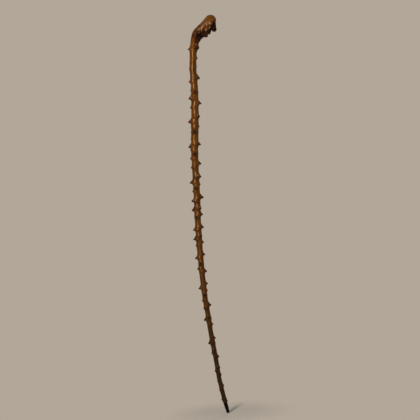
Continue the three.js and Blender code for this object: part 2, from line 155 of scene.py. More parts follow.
class Tree:
    """A node tree, written one node at a time."""

    def __init__(self, tree: bpy.types.NodeTree) -> None:
        """Keep the tree to write in."""
        self.tree = tree

    @staticmethod
    def _socket(sockets: bpy.types.bpy_prop_collection, key: int | str) -> bpy.types.NodeSocket:
        """The socket with this place, identifier or name."""
        named = [] if isinstance(key, int) else [s for s in sockets if s.identifier == key]
        return named[0] if named else sockets[key]

    def node(
        self, kind: str, settings: dict | None = None, values: dict | None = None,
        output: int | str = 0,
    ) -> Wire | None:
        """Add a node.

        Args:
            kind: the node's type.
            settings: its own settings.
            values: the value or wire of each input, by place, identifier or name.
            output: the output to return.

        Returns:
            The node's output, where it has one.
        """
        made = self.tree.nodes.new(kind)
        for name, value in (settings or {}).items():
            setattr(made, name, value)
        for key, value in (values or {}).items():
            socket = self._socket(made.inputs, key)
            if isinstance(value, Wire):
                self.tree.links.new(value.socket, socket)
            else:
                socket.default_value = value
        return Wire(self, self._socket(made.outputs, output)) if len(made.outputs) else None

    def stretched(self, vector: Wire, scale: Value) -> Wire:
        """A vector with each part multiplied by its own scale."""
        return self.node("ShaderNodeVectorMath", {"operation": "MULTIPLY"}, {0: vector, 1: scale})

    def noise(self, at: Wire, scale: float, detail: float = 3, roughness: float = 0.55) -> Wire:
        """Noise from nought to one at a place, so many times a metre."""
        values = {"Vector": at, "Scale": scale, "Detail": detail, "Roughness": roughness}
        return self.node("ShaderNodeTexNoise", {}, values)

    def blend(self, share: Value, first: Value, second: Value, way: str = "MIX") -> Wire:
        """Put two colours together.

        Args:
            share: how much the second counts, from nought to one.
            first: a colour.
            second: a colour.
            way: how they are put together.

        Returns:
            The colour.
        """
        pair = [(*colour, 1) if isinstance(colour, tuple) else colour for colour in (first, second)]
        settings = {"data_type": "RGBA", "blend_type": way}
        values = {"Factor_Float": share, "A_Color": pair[0], "B_Color": pair[1]}
        return self.node("ShaderNodeMix", settings, values, "Result_Color")

    def shaded(self, colour: Wire, share: Value) -> Wire:
        """A colour multiplied by a grey of this share."""
        grey = self.node("ShaderNodeCombineColor", {}, {0: share, 1: share, 2: share})
        return self.blend(1.0, colour, grey, "MULTIPLY")

    def attribute(self, mark: Mark, output: str = "Fac") -> Wire:
        """A number or vector that the piece's own mesh carries."""
        return self.node("ShaderNodeAttribute", {"attribute_name": mark.value}, {}, output)

    def bump(self, height: Wire, strength: float, depth: float) -> Wire:
        """A normal that leans with this height."""
        values = {"Strength": strength, "Distance": depth, "Height": height}
        return self.node("ShaderNodeBump", {}, values)

    def principled(self, values: dict) -> Wire:
        """A Principled shader with these values."""
        return self.node("ShaderNodeBsdfPrincipled", {}, values)


# Finishes


def new_material(name: str) -> tuple[bpy.types.Material, Tree]:
    """Start a node material.

    Args:
        name: its name.

    Returns:
        The material and its empty tree.
    """
    material = bpy.data.materials.new(name)
    material.use_nodes = True
    material.node_tree.nodes.clear()
    return material, Tree(material.node_tree)


@dataclass(frozen=True)
class VarnishedWood:
    """Natural thorn wood under glossy varnish, with dark cut thorns and root bark."""

    honey: Colour = written(116, 64, 12)
    amber: Colour = written(85, 43, 7)
    russet: Colour = written(58, 24, 5)
    foot_brown: Colour = written(55, 29, 23)
    foot_shade: Colour = written(39, 19, 15)
    # Root bark under the handle: its darkness is partly the bark's own colour and partly painted
    # shade under the handle
    bark: Colour = written(29, 13, 7)
    bark_light: Colour = written(50, 24, 12)
    cut_end: Colour = written(34, 15, 6)
    # Painted highlight: a pale tan laid where the highlight falls on the handle
    painted_pale_highlight: Colour = written(146, 104, 72)
    varnish_tint: tuple = (1, 0.57, 0.19, 1)
    bare_tint: tuple = (1, 0.66, 0.45, 1)
    # Each pattern's shares outward, across and along, then its times a metre, detail and roughness
    fibre: tuple = ((1, 1, 0.045), 950, 4, 0.6)
    streak: tuple = ((1, 1, 0.12), 210)
    mottle: tuple = ((1, 1, 1), 62, 3, 0.5)
    cloud: tuple = ((0.25, 0.25, 1), 34, 2, 0.5)
    fleck: tuple = ((1, 1, 0.1), 1500, 2)
    # Shares of the stick's length over which the foot's brown goes, and the grip's polish comes
    foot_band: tuple = (0.3, 0.06)
    grip_band: tuple = (0.92, 0.965)
    varnish_roughness: float = 0.26
    varnish_specular: float = 0.5
    coat_roughness: float = 0.27
    coat_ior: float = 1.42
    bare_roughness: float = 0.36
    bare_specular: float = 0.08
    bump_strength: float = 0.14
    bump_depth: float = 0.6 * MM

    def build(self) -> bpy.types.Material:
        """Make the material.

        Returns:
            The finished wood.
        """
        material, tree = new_material("thorn_wood_under_varnish")
        place = tree.attribute(Mark.PLACE, "Vector")
        rise, tip, collar = map(tree.attribute, (Mark.RISE, Mark.TIP, Mark.COLLAR))
        bark, flush, hollow = map(tree.attribute, (Mark.BARK, Mark.FLUSH, Mark.HOLLOW))
        neck_band, dull, pale = map(tree.attribute, (Mark.NECK_BAND, Mark.DULL, Mark.PAINTED_HIGHLIGHT))
        patterns = (self.fibre, self.streak, self.mottle, self.cloud, self.fleck)
        fibre, streak, mottle, cloud, fleck = (
            tree.noise(tree.stretched(place, shares), *rest) for shares, *rest in patterns
        )
        # Dark rings: partly darker wood at the nodes, partly painted shade where the highlight
        # breaks at each swelling
        ring = tree.attribute(Mark.RING) * (0.55 + streak * 0.9)
        grip = rise.eased(*self.grip_band)

        # Tan wood with redder clouds, and a browner foot
        tan = tree.blend((streak * 0.6 + fibre * 0.4).eased(0.36, 0.66), self.honey, self.amber)
        clouds = (mottle * 0.5 + cloud * 0.5).eased(0.5, 0.66) * (0.75 - grip * 0.45)
        tan = tree.blend(clouds, tan, self.russet)
        clouds = (streak * 0.5 + cloud * 0.5).eased(0.4, 0.62)
        foot = tree.blend(clouds, self.foot_brown, self.foot_shade)
        wood = tree.blend((rise + (mottle - 0.5) * 0.12).eased(*self.foot_band), tan, foot)

        # Russet round the thorns, partly the wood's own collars and partly painted shadow under
        # them; in rings, partly darker nodes and partly painted shade where the highlight breaks;
        # painted shade in the dips; on a darker band down the neck under the handle; and above the
        # bark
        russets = (
            collar * (0.55 + mottle * 0.6) * 0.8,
            ring * 0.6,
            # painted shade in the dips
            hollow.eased(0.05, 0.9) * 0.8,
            (neck_band + (streak - 0.5) * 0.5).eased(0.1, 0.7) * 0.74,
            (flush + (streak - 0.5) * 0.8).eased(0.15, 0.95) * 0.6,
        )
        for share in russets:
            wood = tree.blend(share, wood, self.russet)

        # Bark, dark partly in its own colour and partly as painted shade under the handle, reaching
        # into the dips as painted shade; painted highlights as pale patches; cut ends; then dark
        # flecks and painted shade that darkens the wood towards the foot
        dark = tree.blend(mottle.eased(0.42, 0.66), self.bark, self.bark_light)
        # The bark also spreads into the dips as painted shade
        barked = (bark * 1.3 + (streak - 0.5) * 0.7 + hollow * 0.25).eased(0.4, 0.95)
        wood = tree.blend(barked, wood, dark)
        # Painted highlight: pale tan laid where the highlight falls on the handle's flank
        wood = tree.blend(pale * (0.35 + streak * 0.6), wood, self.painted_pale_highlight)
        cut = (tip + (mottle - 0.5) * 0.3).eased(0.3, 0.75)
        wood = tree.blend(cut, wood, self.cut_end)
        # Painted shade: the wood darkens towards the foot as though the light fell off down the
        # stick
        flecks_and_painted_shade = (1 - fleck.eased(0.6, 0.75) * 0.35) * (0.4 + rise.eased(-0.05, 0.8) * 0.6)
        wood = tree.shaded(wood, flecks_and_painted_shade)

        # Varnish, worn off the bark, the cut ends and the dull places
        facing = tree.node("ShaderNodeLayerWeight", {}, {"Blend": 0.5}, "Facing")
        gloss = self.varnish_roughness + (mottle - 0.5) * 0.4 + rise.eased(0.75, 0.3) * 0.06
        gloss = gloss - grip * 0.05 + (1 - fibre) * 0.06 + ring * 0.16
        height = fibre * 0.35 + streak * 0.8 + mottle * (0.6 + bark)
        bump = tree.bump(height, self.bump_strength, self.bump_depth)
        varnished = tree.principled({
            "Base Color": wood,
            "Roughness": gloss + facing.eased(0.45, 0.85) * 0.6,
            "Coat Weight": (0.04 + grip * 0.12) * (1 - facing),
            "Coat Roughness": self.coat_roughness,
            "Coat IOR": self.coat_ior,
            "Specular IOR Level": self.varnish_specular,
            "Specular Tint": self.varnish_tint,
            "Normal": bump,
        })
        bare = tree.principled({
            "Base Color": wood,
            "Roughness": self.bare_roughness + (1 - fibre) * 0.2 + cut * 0.2,
            "Specular IOR Level": self.bare_specular,
            "Specular Tint": self.bare_tint,
            "Normal": bump,
        })
        rubbed = barked.most(cut).most(dull.eased(0, 0.6)).most(neck_band.eased(0, 0.7))
        shader = tree.node("ShaderNodeMixShader", {}, {0: rubbed, 1: varnished, 2: bare})
        tree.node("ShaderNodeOutputMaterial", {}, {"Surface": shader})
        return material


@dataclass(frozen=True)
class WornMetal:
    """Dark metal that is scuffed bright or rubbed brown where it wears."""

    name: str
    body: Colour
    scuff: Colour
    metallic: float
    roughness: float
    scuff_share: float
    scuff_metallic: float = 0.9
    grain_scale: float = 420
    scratch_draw: tuple = (1, 1, 0.08)
    specular: float = 0.09
    bump_strength: float = 0.3
    bump_depth: float = 0.3 * MM

    def build(self) -> bpy.types.Material:
        """Make the material.

        Returns:
            The finished metal.
        """
        material, tree = new_material(self.name)
        place = tree.node("ShaderNodeTexCoord", {}, {}, "Object")
        speckle = tree.noise(place, self.grain_scale * 4)
        cloud = tree.noise(place, self.grain_scale, 4, 0.6)
        scratch = tree.noise(tree.stretched(place, self.scratch_draw), self.grain_scale * 6, 2)
        worn = tree.attribute(Mark.WEAR) + (cloud - 0.5) * 0.9 + (scratch - 0.5) * 0.5
        worn = worn.eased(0.45, 0.85) * self.scuff_share
        colour = tree.blend(worn, self.body, self.scuff)
        shader = tree.principled({
            "Base Color": tree.shaded(colour, 0.75 + cloud * 0.5),
            "Metallic": self.metallic + worn * (self.scuff_metallic - self.metallic),
            "Roughness": self.roughness + (cloud - 0.5) * 0.2 - worn * 0.15,
            "Specular IOR Level": self.specular,
            "Normal": tree.bump(speckle * 0.5 + scratch * 0.5, self.bump_strength, self.bump_depth),
        })
        tree.node("ShaderNodeOutputMaterial", {}, {"Surface": shader})
        return material


# Mesh helpers


def into_scene(name: str, data: bpy.types.ID) -> bpy.types.Object:
    """Put an object in the scene.

    Args:
        name: its name.
        data: its mesh, lamp or camera.

    Returns:
        The object.
    """
    made = bpy.data.objects.new(name, data)
    bpy.context.scene.collection.objects.link(made)
    return made


def new_object(name: str, points: np.ndarray, faces: Sequence[Sequence[int]]) -> bpy.types.Object:
    """Make a mesh object and put it in the scene.

    Args:
        name: its name.
        points: the places of its points.
        faces: the points of each face.

    Returns:
        The object.
    """
    mesh = bpy.data.meshes.new(name)
    mesh.from_pydata([tuple(point) for point in points], [], [tuple(face) for face in faces])
    mesh.update()
    return into_scene(name, mesh)


def read_points(mesh: bpy.types.Mesh, what: str = "co") -> np.ndarray:
    """Read the points of a mesh.

    Args:
        mesh: the mesh.
        what: co for their places, or normal.

    Returns:
        One vector for each point.
    """
    flat = np.empty(len(mesh.vertices) * 3, np.float32)
    mesh.vertices.foreach_get(what, flat)
    return flat.reshape(-1, 3).astype(float)


def put_points(mesh: bpy.types.Mesh, points: np.ndarray) -> None:
    """Move a mesh's points to these places."""
    mesh.vertices.foreach_set("co", points.astype(np.float32).ravel())
    mesh.update()


def put_mark(mesh: bpy.types.Mesh, mark: Mark, values: np.ndarray) -> None:
    """Give each point of a mesh a number or a vector.

    Args:
        mesh: the mesh.
        mark: what it is called.
        values: one number or vector for each point.
    """
    kind, key = ("FLOAT_VECTOR", "vector") if values.ndim > 1 else ("FLOAT", "value")
    attribute = mesh.attributes.new(mark.value, kind, "POINT")
    attribute.data.foreach_set(key, values.astype(np.float32).ravel())


def evaluated(source: bpy.types.Object, name: str) -> bpy.types.Mesh:
    """Make an object's modifiers real.

    Args:
        source: the object.
        name: the name of the new mesh.

    Returns:
        The plain mesh that the modifiers make.
    """
    graph = bpy.context.evaluated_depsgraph_get()
    mesh = bpy.data.meshes.new_from_object(source.evaluated_get(graph), depsgraph=graph)
    mesh.name = name
    return mesh


def in_frame(piece: bpy.types.Object, node: Node) -> bpy.types.Object:
    """Set a finished piece in the frame.

    Args:
        piece: the piece.
        node: the CAD node that it stands for.

    Returns:
        The piece.
    """
    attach(piece, BODY)
    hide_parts(node.value)
    return piece


def even_turns(count: int) -> np.ndarray:
    """This many even steps round a circle."""
    return np.arange(count) / count * FULL_TURN


def ring_faces(low: int, high: int, sides: int) -> list[tuple[int, ...]]:
    """The faces between two rings of points, given where each ring's points start."""
    pairs = [(side, (side + 1) % sides) for side in range(sides)]
    return [(low + side, low + after, high + after, high + side) for side, after in pairs]


def skin(rings: np.ndarray, low: np.ndarray, high: np.ndarray) -> Skin:
    """Close a stack of rings with a point at each end.

    Args:
        rings: points, by ring and side.
        low: the point under the first ring.
        high: the point over the last ring.

    Returns:
        Points and faces.
    """
    count, sides = rings.shape[:2]
    points = np.vstack([rings.reshape(-1, 3), low, high])
    under, last, faces = count * sides, (count - 1) * sides, []
    for side in range(sides):
        after = (side + 1) % sides
        faces += [(under, after, side), (under + 1, last + side, last + after)]
        for ring in range(0, last, sides):
            faces.append((ring + side, ring + after, ring + sides + after, ring + sides + side))
    return points, faces


def joined(parts: Sequence[Skin]) -> Skin:
    """Put several sets of points and faces into one.

    Args:
        parts: the sets.

    Returns:
        Points and faces.
    """
    faces, base = [], 0
    for points, part_faces in parts:
        faces += [tuple(index + base for index in face) for face in part_faces]
        base += len(points)
    return np.vstack([points for points, _ in parts]), faces


class Neighbours:
    """The points that a mesh's edges join, to draw each towards the middle of its neighbours."""

    def __init__(self, mesh: bpy.types.Mesh) -> None:
        """Read the edges.

        Args:
            mesh: the mesh.
        """
        edges = np.empty(len(mesh.edges) * 2, np.int64)
        mesh.edges.foreach_get("vertices", edges)
        one, other = edges.reshape(-1, 2).T
        self.ends = np.concatenate([one, other])
        self.others = np.concatenate([other, one])
        self.number = np.bincount(self.ends, minlength=len(mesh.vertices)).astype(float)[:, None]

    def middle(self, places: np.ndarray) -> np.ndarray:
        """The middle of each place's neighbours."""
        totals = [np.bincount(self.ends, part[self.others], len(places)) for part in places.T]
        return np.stack(totals, axis=-1) / self.number

    def drawn(self, places: np.ndarray, share: np.ndarray | float) -> np.ndarray:
        """Places moved by this share towards the middle of their neighbours."""
        return places + (self.middle(places) - places) * share


# Number helpers


def eased(values: np.ndarray, low: float, high: float) -> np.ndarray:
    """A smooth step, nought at low and one at high."""
    share = np.clip((values - low) / (high - low), 0, 1)
    return share * share * (3 - 2 * share)


@dataclass(frozen=True)
class Ripple:
    """A soft unevenness, the same at each run: the distance between lumps, its seed and height."""

    distance: float
    seed: int
    height: float
    waves: int = 14
    spread: tuple = (0.7, 1.5)

    def over(self, places: np.ndarray) -> np.ndarray:
        """Work the unevenness out.

        Args:
            places: where it is wanted.

        Returns:
            The rise at each place, about as much as the height either way.
        """
        draw = np.random.default_rng(self.seed)
        total = np.zeros(len(places))
        for _ in range(self.waves):
            way = draw.normal(size=3)
            way /= np.linalg.norm(way)
            pitch = FULL_TURN / (self.distance * draw.uniform(*self.spread))
            total += np.sin(places @ way * pitch + draw.uniform(0, FULL_TURN))
        return total / math.sqrt(self.waves / 2) / 2 * self.height


def unit(vectors: np.ndarray) -> np.ndarray:
    """Vectors made one long."""
    return vectors / np.linalg.norm(vectors, axis=-1, keepdims=True)


def along(vectors: np.ndarray, ways: np.ndarray) -> np.ndarray:
    """How far each vector goes along its own way."""
    return np.einsum("ij,ij->i", vectors, ways)


def curve(rows: np.ndarray, steps: int, spaced: bool = True) -> np.ndarray:
    """Draw a smooth curve through rows of numbers.

    Args:
        rows: the rows that it passes through.
        steps: rows worked out between two of them.
        spaced: whether it minds how far apart they are, as a centripetal curve does.

    Returns:
        Rows along the curve.
    """
    ends = (2 * rows[0] - rows[1], 2 * rows[-1] - rows[-2]) if spaced else (rows[0], rows[-1])
    padded = np.vstack([ends[0], rows, ends[1]])
    shares = [step / steps for step in range(steps)]
    made = []
    for p0, p1, p2, p3 in zip(padded, padded[1:], padded[2:], padded[3:]):
        start, end = (p2 - p0) / 2, (p3 - p1) / 2
        if spaced:
            pairs = ((p0, p1), (p1, p2), (p2, p3))
            gap0, gap1, gap2 = (math.sqrt(np.linalg.norm(b - a)) for a, b in pairs)
            start = ((p1 - p0) / gap0 - (p2 - p0) / (gap0 + gap1) + (p2 - p1) / gap1) * gap1
            end = ((p2 - p1) / gap1 - (p3 - p1) / (gap1 + gap2) + (p3 - p2) / gap2) * gap1
        cube = 2 * p1 - 2 * p2 + start + end
        square = 3 * p2 - 3 * p1 - 2 * start - end
        made += [((cube * t + square) * t + start) * t + p1 for t in shares]
    return np.array([*made, rows[-1]])


def from_path(points: np.ndarray, path: Sequence[tuple]) -> tuple[np.ndarray, np.ndarray]:
    """Measure how far points lie from a path, seen from the side of the stick.

    Args:
        points: the points.
        path: millimetre pairs of X and Z.

    Returns:
        The distances, and the same with a minus where the point lies on the path's right.
    """
    corners = np.array(path, float) * MM
    flat = points[:, [0, 2]]
    best, signed = np.full(len(points), np.inf), np.zeros(len(points))
    for start, end in zip(corners, corners[1:]):
        way = end - start
        share = np.clip(((flat - start) @ way) / (way @ way), 0, 1)
        far = np.linalg.norm(flat - start - share[:, None] * way, axis=1)
        side = way[0] * (flat[:, 1] - start[1]) - way[1] * (flat[:, 0] - start[0])
        closer = far < best
        best = np.where(closer, far, best)
        signed = np.where(closer, np.sign(side) * far, signed)
    return best, signed


# The stick's centreline


@dataclass
class Stations:
    """Places along the centreline, with their radii and directions."""

    centre: np.ndarray
    radii: np.ndarray
    along: np.ndarray
    outward: np.ndarray
    across: np.ndarray


@dataclass
class StickLine:
    """The grown line of the stick, from the ferrule's mouth to the middle of the nose."""

    height: float = 920 * MM
    neck_offset: float = 18.1 * MM
    bow_depth: float = 28 * MM
    sway_depth: float = 2.5 * MM
    shank_radius: float = 8.6 * MM
    handle_reach: float = 53.9 * MM
    handle_rise: float = 65.7 * MM
    nose_radius: float = 12.8 * MM
    handle_half_width: float = 14.6 * MM
    flank_share: float = 0.87
    ferrule_length: float = 25 * MM
    ferrule_lean: float = math.radians(12.3)
    tip_radius: float = 3.8 * MM
    wear_depth: float = 0.5 * MM
    foot_radius: float = 4.9 * MM
    seat_gap: float = 0.3 * MM
    steps: int = 48
    lead: float = 0.03
    follow_rounds: int = 12
    follow_reach: float = 3 * MM
    follow_share: float = 0.8

    # Share of the way up, of the bow, of the sway, and from the foot's radius to the shank's
    shank: tuple = (
        (0.025, 0.12, 0.1, 0.02), (0.068, 0.33, 0.5, 0.05), (0.105, 0.42, 0.9, 0.07),
        (0.152, 0.56, 0.6, 0.16), (0.2, 0.7, -0.1, 0.2), (0.253, 0.81, -0.6, 0.24),
        (0.295, 0.91, -0.9, 0.26), (0.346, 0.98, -0.5, 0.4), (0.39, 1, 0.2, 0.44),
        (0.447, 1, 0.7, 0.5), (0.511, 0.96, 0.9, 0.6), (0.585, 0.86, 0.4, 0.68),
        (0.65, 0.8, -0.3, 0.73), (0.703, 0.73, -0.8, 0.86), (0.758, 0.58, -0.6, 0.95),
        (0.817, 0.42, 0, 0.97), (0.872, 0.31, 0.5, 0.86), (0.927, 0.29, 0.4, 0.82),
        (0.955, 0.23, 0.2, 0.8), (0.98, 0.14, 0.1, 0.9),
    )
    # Share of the reach and rise to the nose's centre, of the nose's radius, of the half width
    handle: tuple = (
        (0, 0, 0.75, 0.68), (0.059, 0.28, 0.71, 0.66), (0.157, 0.474, 0.72, 0.7),
        (0.359, 0.61, 0.78, 0.8), (0.713, 0.815, 0.88, 0.92), (1, 1, 1, 1),
    )

    def __post_init__(self) -> None:
        """Work out the line and its lengths."""
        self.foot_axis = np.array([-math.sin(self.ferrule_lean), 0, math.cos(self.ferrule_lean)])
        self.tip_centre = np.array([0, 0, self.tip_radius - self.wear_depth])
        self.mouth_height = self.ferrule_length - self.tip_radius
        self.shoulder = self.tip_centre + self.foot_axis * (self.mouth_height + self.seat_gap)
        self.neck = np.array([-self.neck_offset, 0, self.height - self.handle_rise])
        reach = self.handle_reach - self.neck_offset - self.nose_radius
        self.nose = np.array([reach, 0, self.height - self.nose_radius])
        points, girths = [self.shoulder], [(self.foot_radius, self.foot_radius)]
        for rise, bow, sway, girth in self.shank:
            point = self.shoulder + (self.neck - self.shoulder) * rise
            points.append(point + np.array([-self.bow_depth * bow, self.sway_depth * sway, 0]))
            girths.append((self.foot_radius + (self.shank_radius - self.foot_radius) * girth,) * 2)
        for reach, rise, girth, width in self.handle:
            points.append(self.neck + (self.nose - self.neck) * np.array([reach, 0, rise]))
            half_width = self.handle_half_width * width * self.flank_share
            girths.append((self.nose_radius * girth, half_width))
        line = curve(np.array(points), self.steps)
        radii = curve(np.array(girths), self.steps, False)
        gaps = np.linalg.norm(np.diff(line, axis=0), axis=1)
        lengths = np.concatenate([[0], np.cumsum(gaps)])
        self.length = float(lengths[-1])
        before = line[0] - unit(line[1] - line[0]) * self.lead
        after = line[-1] + unit(line[-1] - line[-2]) * self.lead
        self.lengths = np.concatenate([[-self.lead], lengths, [self.length + self.lead]])
        self.line = np.vstack([before, line, after])
        self.radii = np.vstack([radii[0], radii, radii[-1]])
        self.ways = unit(np.gradient(self.line, self.lengths, axis=0))

    def _read(self, table: np.ndarray, lengths: np.ndarray) -> np.ndarray:
        """The rows of a table of the line at lengths along it."""
        return np.stack([np.interp(lengths, self.lengths, part) for part in table.T], axis=-1)

    def at(self, lengths: np.ndarray) -> Stations:
        """Find the stations at lengths along the line.

        Args:
            lengths: the lengths.

        Returns:
            The stations.
        """
        forward = unit(self._read(self.ways, lengths))
        outward = unit(np.cross(SIDEWAYS, forward))
        across = np.cross(forward, outward)
        centre, radii = self._read(self.line, lengths), self._read(self.radii, lengths)
        return Stations(centre, radii, forward, outward, across)

    def length_at_height(self, heights: np.ndarray) -> np.ndarray:
        """The length along the line at which it passes a height."""
        return np.interp(heights, self.line[:, 2], self.lengths)

    def length_at_share(self, shares: np.ndarray) -> np.ndarray:
        """The length along the line at a share of the way up the shank."""
        low, high = self.shoulder[2], self.neck[2]
        return self.length_at_height(low + (high - low) * shares)

    def straightened(self, points: np.ndarray) -> np.ndarray:
        """Find where points would lie if the stick were straight.

        Args:
            points: the points.

        Returns:
            How far each lies outward, across and along.
        """
        lengths = self.length_at_height(points[:, 2])
        for _ in range(self.follow_rounds):
            station = self.at(lengths)
            slip = along(points - station.centre, station.along)
            slip = np.clip(slip, -self.follow_reach, self.follow_reach)
            lengths = lengths + slip * self.follow_share
        station = self.at(lengths)
        offset = points - station.centre
        sides = (along(offset, station.outward), along(offset, station.across))
        return np.stack([*sides, lengths], axis=-1)


# Thorns


@dataclass
class CutThorns:
    """The cut-back thorns of the shank and the swellings that carry them."""

    line: StickLine
    length: float = 8.6 * MM
    base_radius: float = 5.6 * MM
    tip_radius: float = 1.9 * MM
    root_depth: float = 3 * MM
    root_spread: float = 0.6
    droop: float = math.radians(22)
    scatter: float = math.radians(26)
    least: float = 0.2
    swell: float = 3.4 * MM
    run_above: float = 13 * MM
    run_below: float = 7 * MM
    spread: float = math.radians(125)
    flare: float = 1.35
    seed: int = 7
    broad: tuple = (0.98, 1.3)
    narrow: tuple = (0.82, 1.02)
    stub_sides: int = 20
    stub_rings: int = 12
    # The far side's thorns: how far each strays up or down, their usual size and its range, and
    # how far each of these two swings goes on from one thorn to the next, in radians
    far_count: int = 20
    far_stray: float = 0.3
    far_size: float = 0.7
    far_range: float = 0.25
    far_swings: tuple = (5, 2.3)
    # How far along the stick a dark ring shows, and a thorn's marks
    ring_reach: float = 8.5 * MM
    mark_reach: float = 16.9 * MM
    # Shares of a stub's length and girth over which its cut end shows, then its collar
    cut_band: tuple = (0.3, 0.95)
    cut_girth: tuple = (1, 1.5)
    collar_girth: tuple = (0.6, 1.9)
    collar_band: tuple = (-4 * MM, -1 * MM)

    # Share of the way up the shank and share of the largest size, side by side
    nose_side: tuple = (
        (0.004, 0.3), (0.046, 0.6), (0.077, 0.6), (0.097, 0.4), (0.127, 0.75), (0.166, 0.2),
        (0.18, 0.85), (0.219, 0.7), (0.235, 0.4), (0.272, 1.05), (0.314, 0.4), (0.332, 0.9),
        (0.367, 0.9), (0.414, 0.75), (0.448, 0.75), (0.49, 1), (0.526, 0.8), (0.573, 1.15),
        (0.61, 0.3), (0.667, 0.85), (0.721, 0.85), (0.772, 0.3), (0.835, 0.8), (0.905, 1),
        (0.961, 0.35),
    )
    bow_side: tuple = (
        (0.009, 0.45), (0.035, 0.45), (0.089, 0.55), (0.139, 0.45), (0.168, 0.95), (0.233, 1.05),
        (0.266, 0.55), (0.287, 0.6), (0.321, 1.2), (0.375, 0.6), (0.405, 1), (0.44, 0.5),
        (0.458, 1), (0.484, 0.85), (0.538, 1), (0.564, 0.9), (0.591, 0.4), (0.615, 1),
        (0.657, 0.35), (0.682, 0.4), (0.706, 0.3), (0.714, 0.9), (0.783, 0.85), (0.824, 0.4),
        (0.848, 0.85), (0.896, 0.5), (0.93, 0.1), (0.984, 0.5),
    )
    # On the near side also how far round it grows, in degrees towards the nose
    near_side: tuple = (
        (0.099, 0.6, 28), (0.146, 0.6, 5), (0.24, 0.6, 2), (0.302, 0.7, 1), (0.389, 0.7, -5),
        (0.466, 0.65, 30), (0.519, 0.45, -17), (0.544, 0.75, 46), (0.599, 0.6, -8),
        (0.631, 1.2, 50), (0.695, 0.6, 2), (0.755, 0.6, -4), (0.798, 0.8, 46), (0.865, 0.6, 6),
        (0.99, 0.95, 44),
    )
    # Dark rings round the shank, partly darker wood at the nodes and partly painted shade where the
    # highlight breaks at the swellings: share of the way up and strength
    rings: tuple = (
        (0.028, 0.3), (0.091, 0.3), (0.144, 0.7), (0.203, 0.8), (0.265, 1), (0.296, 0.7),
        (0.352, 0.8), (0.385, 0.8), (0.416, 0.4), (0.438, 0.4), (0.463, 0.6), (0.516, 0.9),
        (0.544, 0.9), (0.597, 0.6), (0.633, 0.8), (0.658, 1), (0.692, 0.6), (0.717, 1),
        (0.753, 0.7), (0.8, 0.4), (0.822, 0.9), (0.864, 0.7), (0.903, 0.6), (0.948, 0.9),
    )

    def __post_init__(self) -> None:
        """Work out where each thorn grows, its turn round the stick and its size."""
        count = np.arange(self.far_count)
        stray, swing = (np.sin(count * step) for step in self.far_swings)
        far_rise = (count + 0.5 + self.far_stray * stray) / self.far_count
        far_side = np.stack([far_rise, self.far_size + self.far_range * swing], axis=-1)
        lengths, turns, sizes = [], [], []
        for quarter, side in enumerate((self.nose_side, far_side, self.bow_side, self.near_side)):
            shares = np.array(side)
            count = np.arange(len(shares))
            middle = quarter * FULL_TURN / 4
            scattered = self.scatter * np.sin(count * count + middle)
            turns.append(middle + (np.radians(shares[:, 2]) if shares.shape[1] > 2 else scattered))
            lengths.append(self.line.length_at_share(shares[:, 0]))
            stem = self.line.at(lengths[-1]).radii[:, 0] / self.line.shank_radius
            sizes.append(stem * (self.least + (1 - self.least) * shares[:, 1]))
        self.lengths, self.turns, self.sizes = map(np.concatenate, (lengths, turns, sizes))
        station = self.line.at(self.lengths)
        self.stem_ways = station.along
        sides_out = station.outward * np.cos(self.turns)[:, None]
        sides_out = sides_out + station.across * np.sin(self.turns)[:, None]
        self.axes = sides_out * math.cos(self.droop) - station.along * math.sin(self.droop)
        lift = (self.length * self.sizes * math.sin(self.droop))[:, None]
        self.feet = station.centre + sides_out * station.radii[:, :1] + station.along * lift

    def swelling(self, lengths: np.ndarray, turns: np.ndarray) -> np.ndarray:
        """Work out how far the wood swells towards its thorns.

        Args:
            lengths: lengths along the stick.
            turns: turns round it.

        Returns:
            A table by length and turn.
        """
        swell = np.zeros((len(lengths), len(turns)))
        for length, turn, size in zip(self.lengths, self.turns, self.sizes):
            rise = lengths - length
            run = np.where(rise > 0, self.run_above, self.run_below)
            away = np.abs((turns - turn + math.pi) % FULL_TURN - math.pi)
            close = np.clip(1 - np.abs(rise) / run, 0, 1)[:, None]
            near = close * np.clip(1 - away / self.spread, 0, 1)
            swell = np.maximum(swell, self.swell * size * near * near * (3 - 2 * near))
        return swell

    def _growth_tree(self, sizes: dict[str, float], wood: bpy.types.Material) -> bpy.types.NodeTree:
        """Write the node tree that grows a stub on each point.

        Args:
            sizes: the named inputs of the stub.
            wood: the material that the stubs wear.

        Returns:
            The tree.
        """
        group = bpy.data.node_groups.new("grow_cut_thorns", "GeometryNodeTree")
        kinds = {"Places": "NodeSocketGeometry"}
        for name, value in sizes.items():
            kinds[name] = "NodeSocketInt" if isinstance(value, int) else "NodeSocketFloat"
        for name, kind in kinds.items():
            group.interface.new_socket(name, in_out="INPUT", socket_type=kind)
        group.interface.new_socket("Thorns", in_out="OUTPUT", socket_type="NodeSocketGeometry")
        tree = Tree(group)
        source = group.nodes.new("NodeGroupInput")
        given = {name: Wire(tree, source.outputs[name]) for name in kinds}

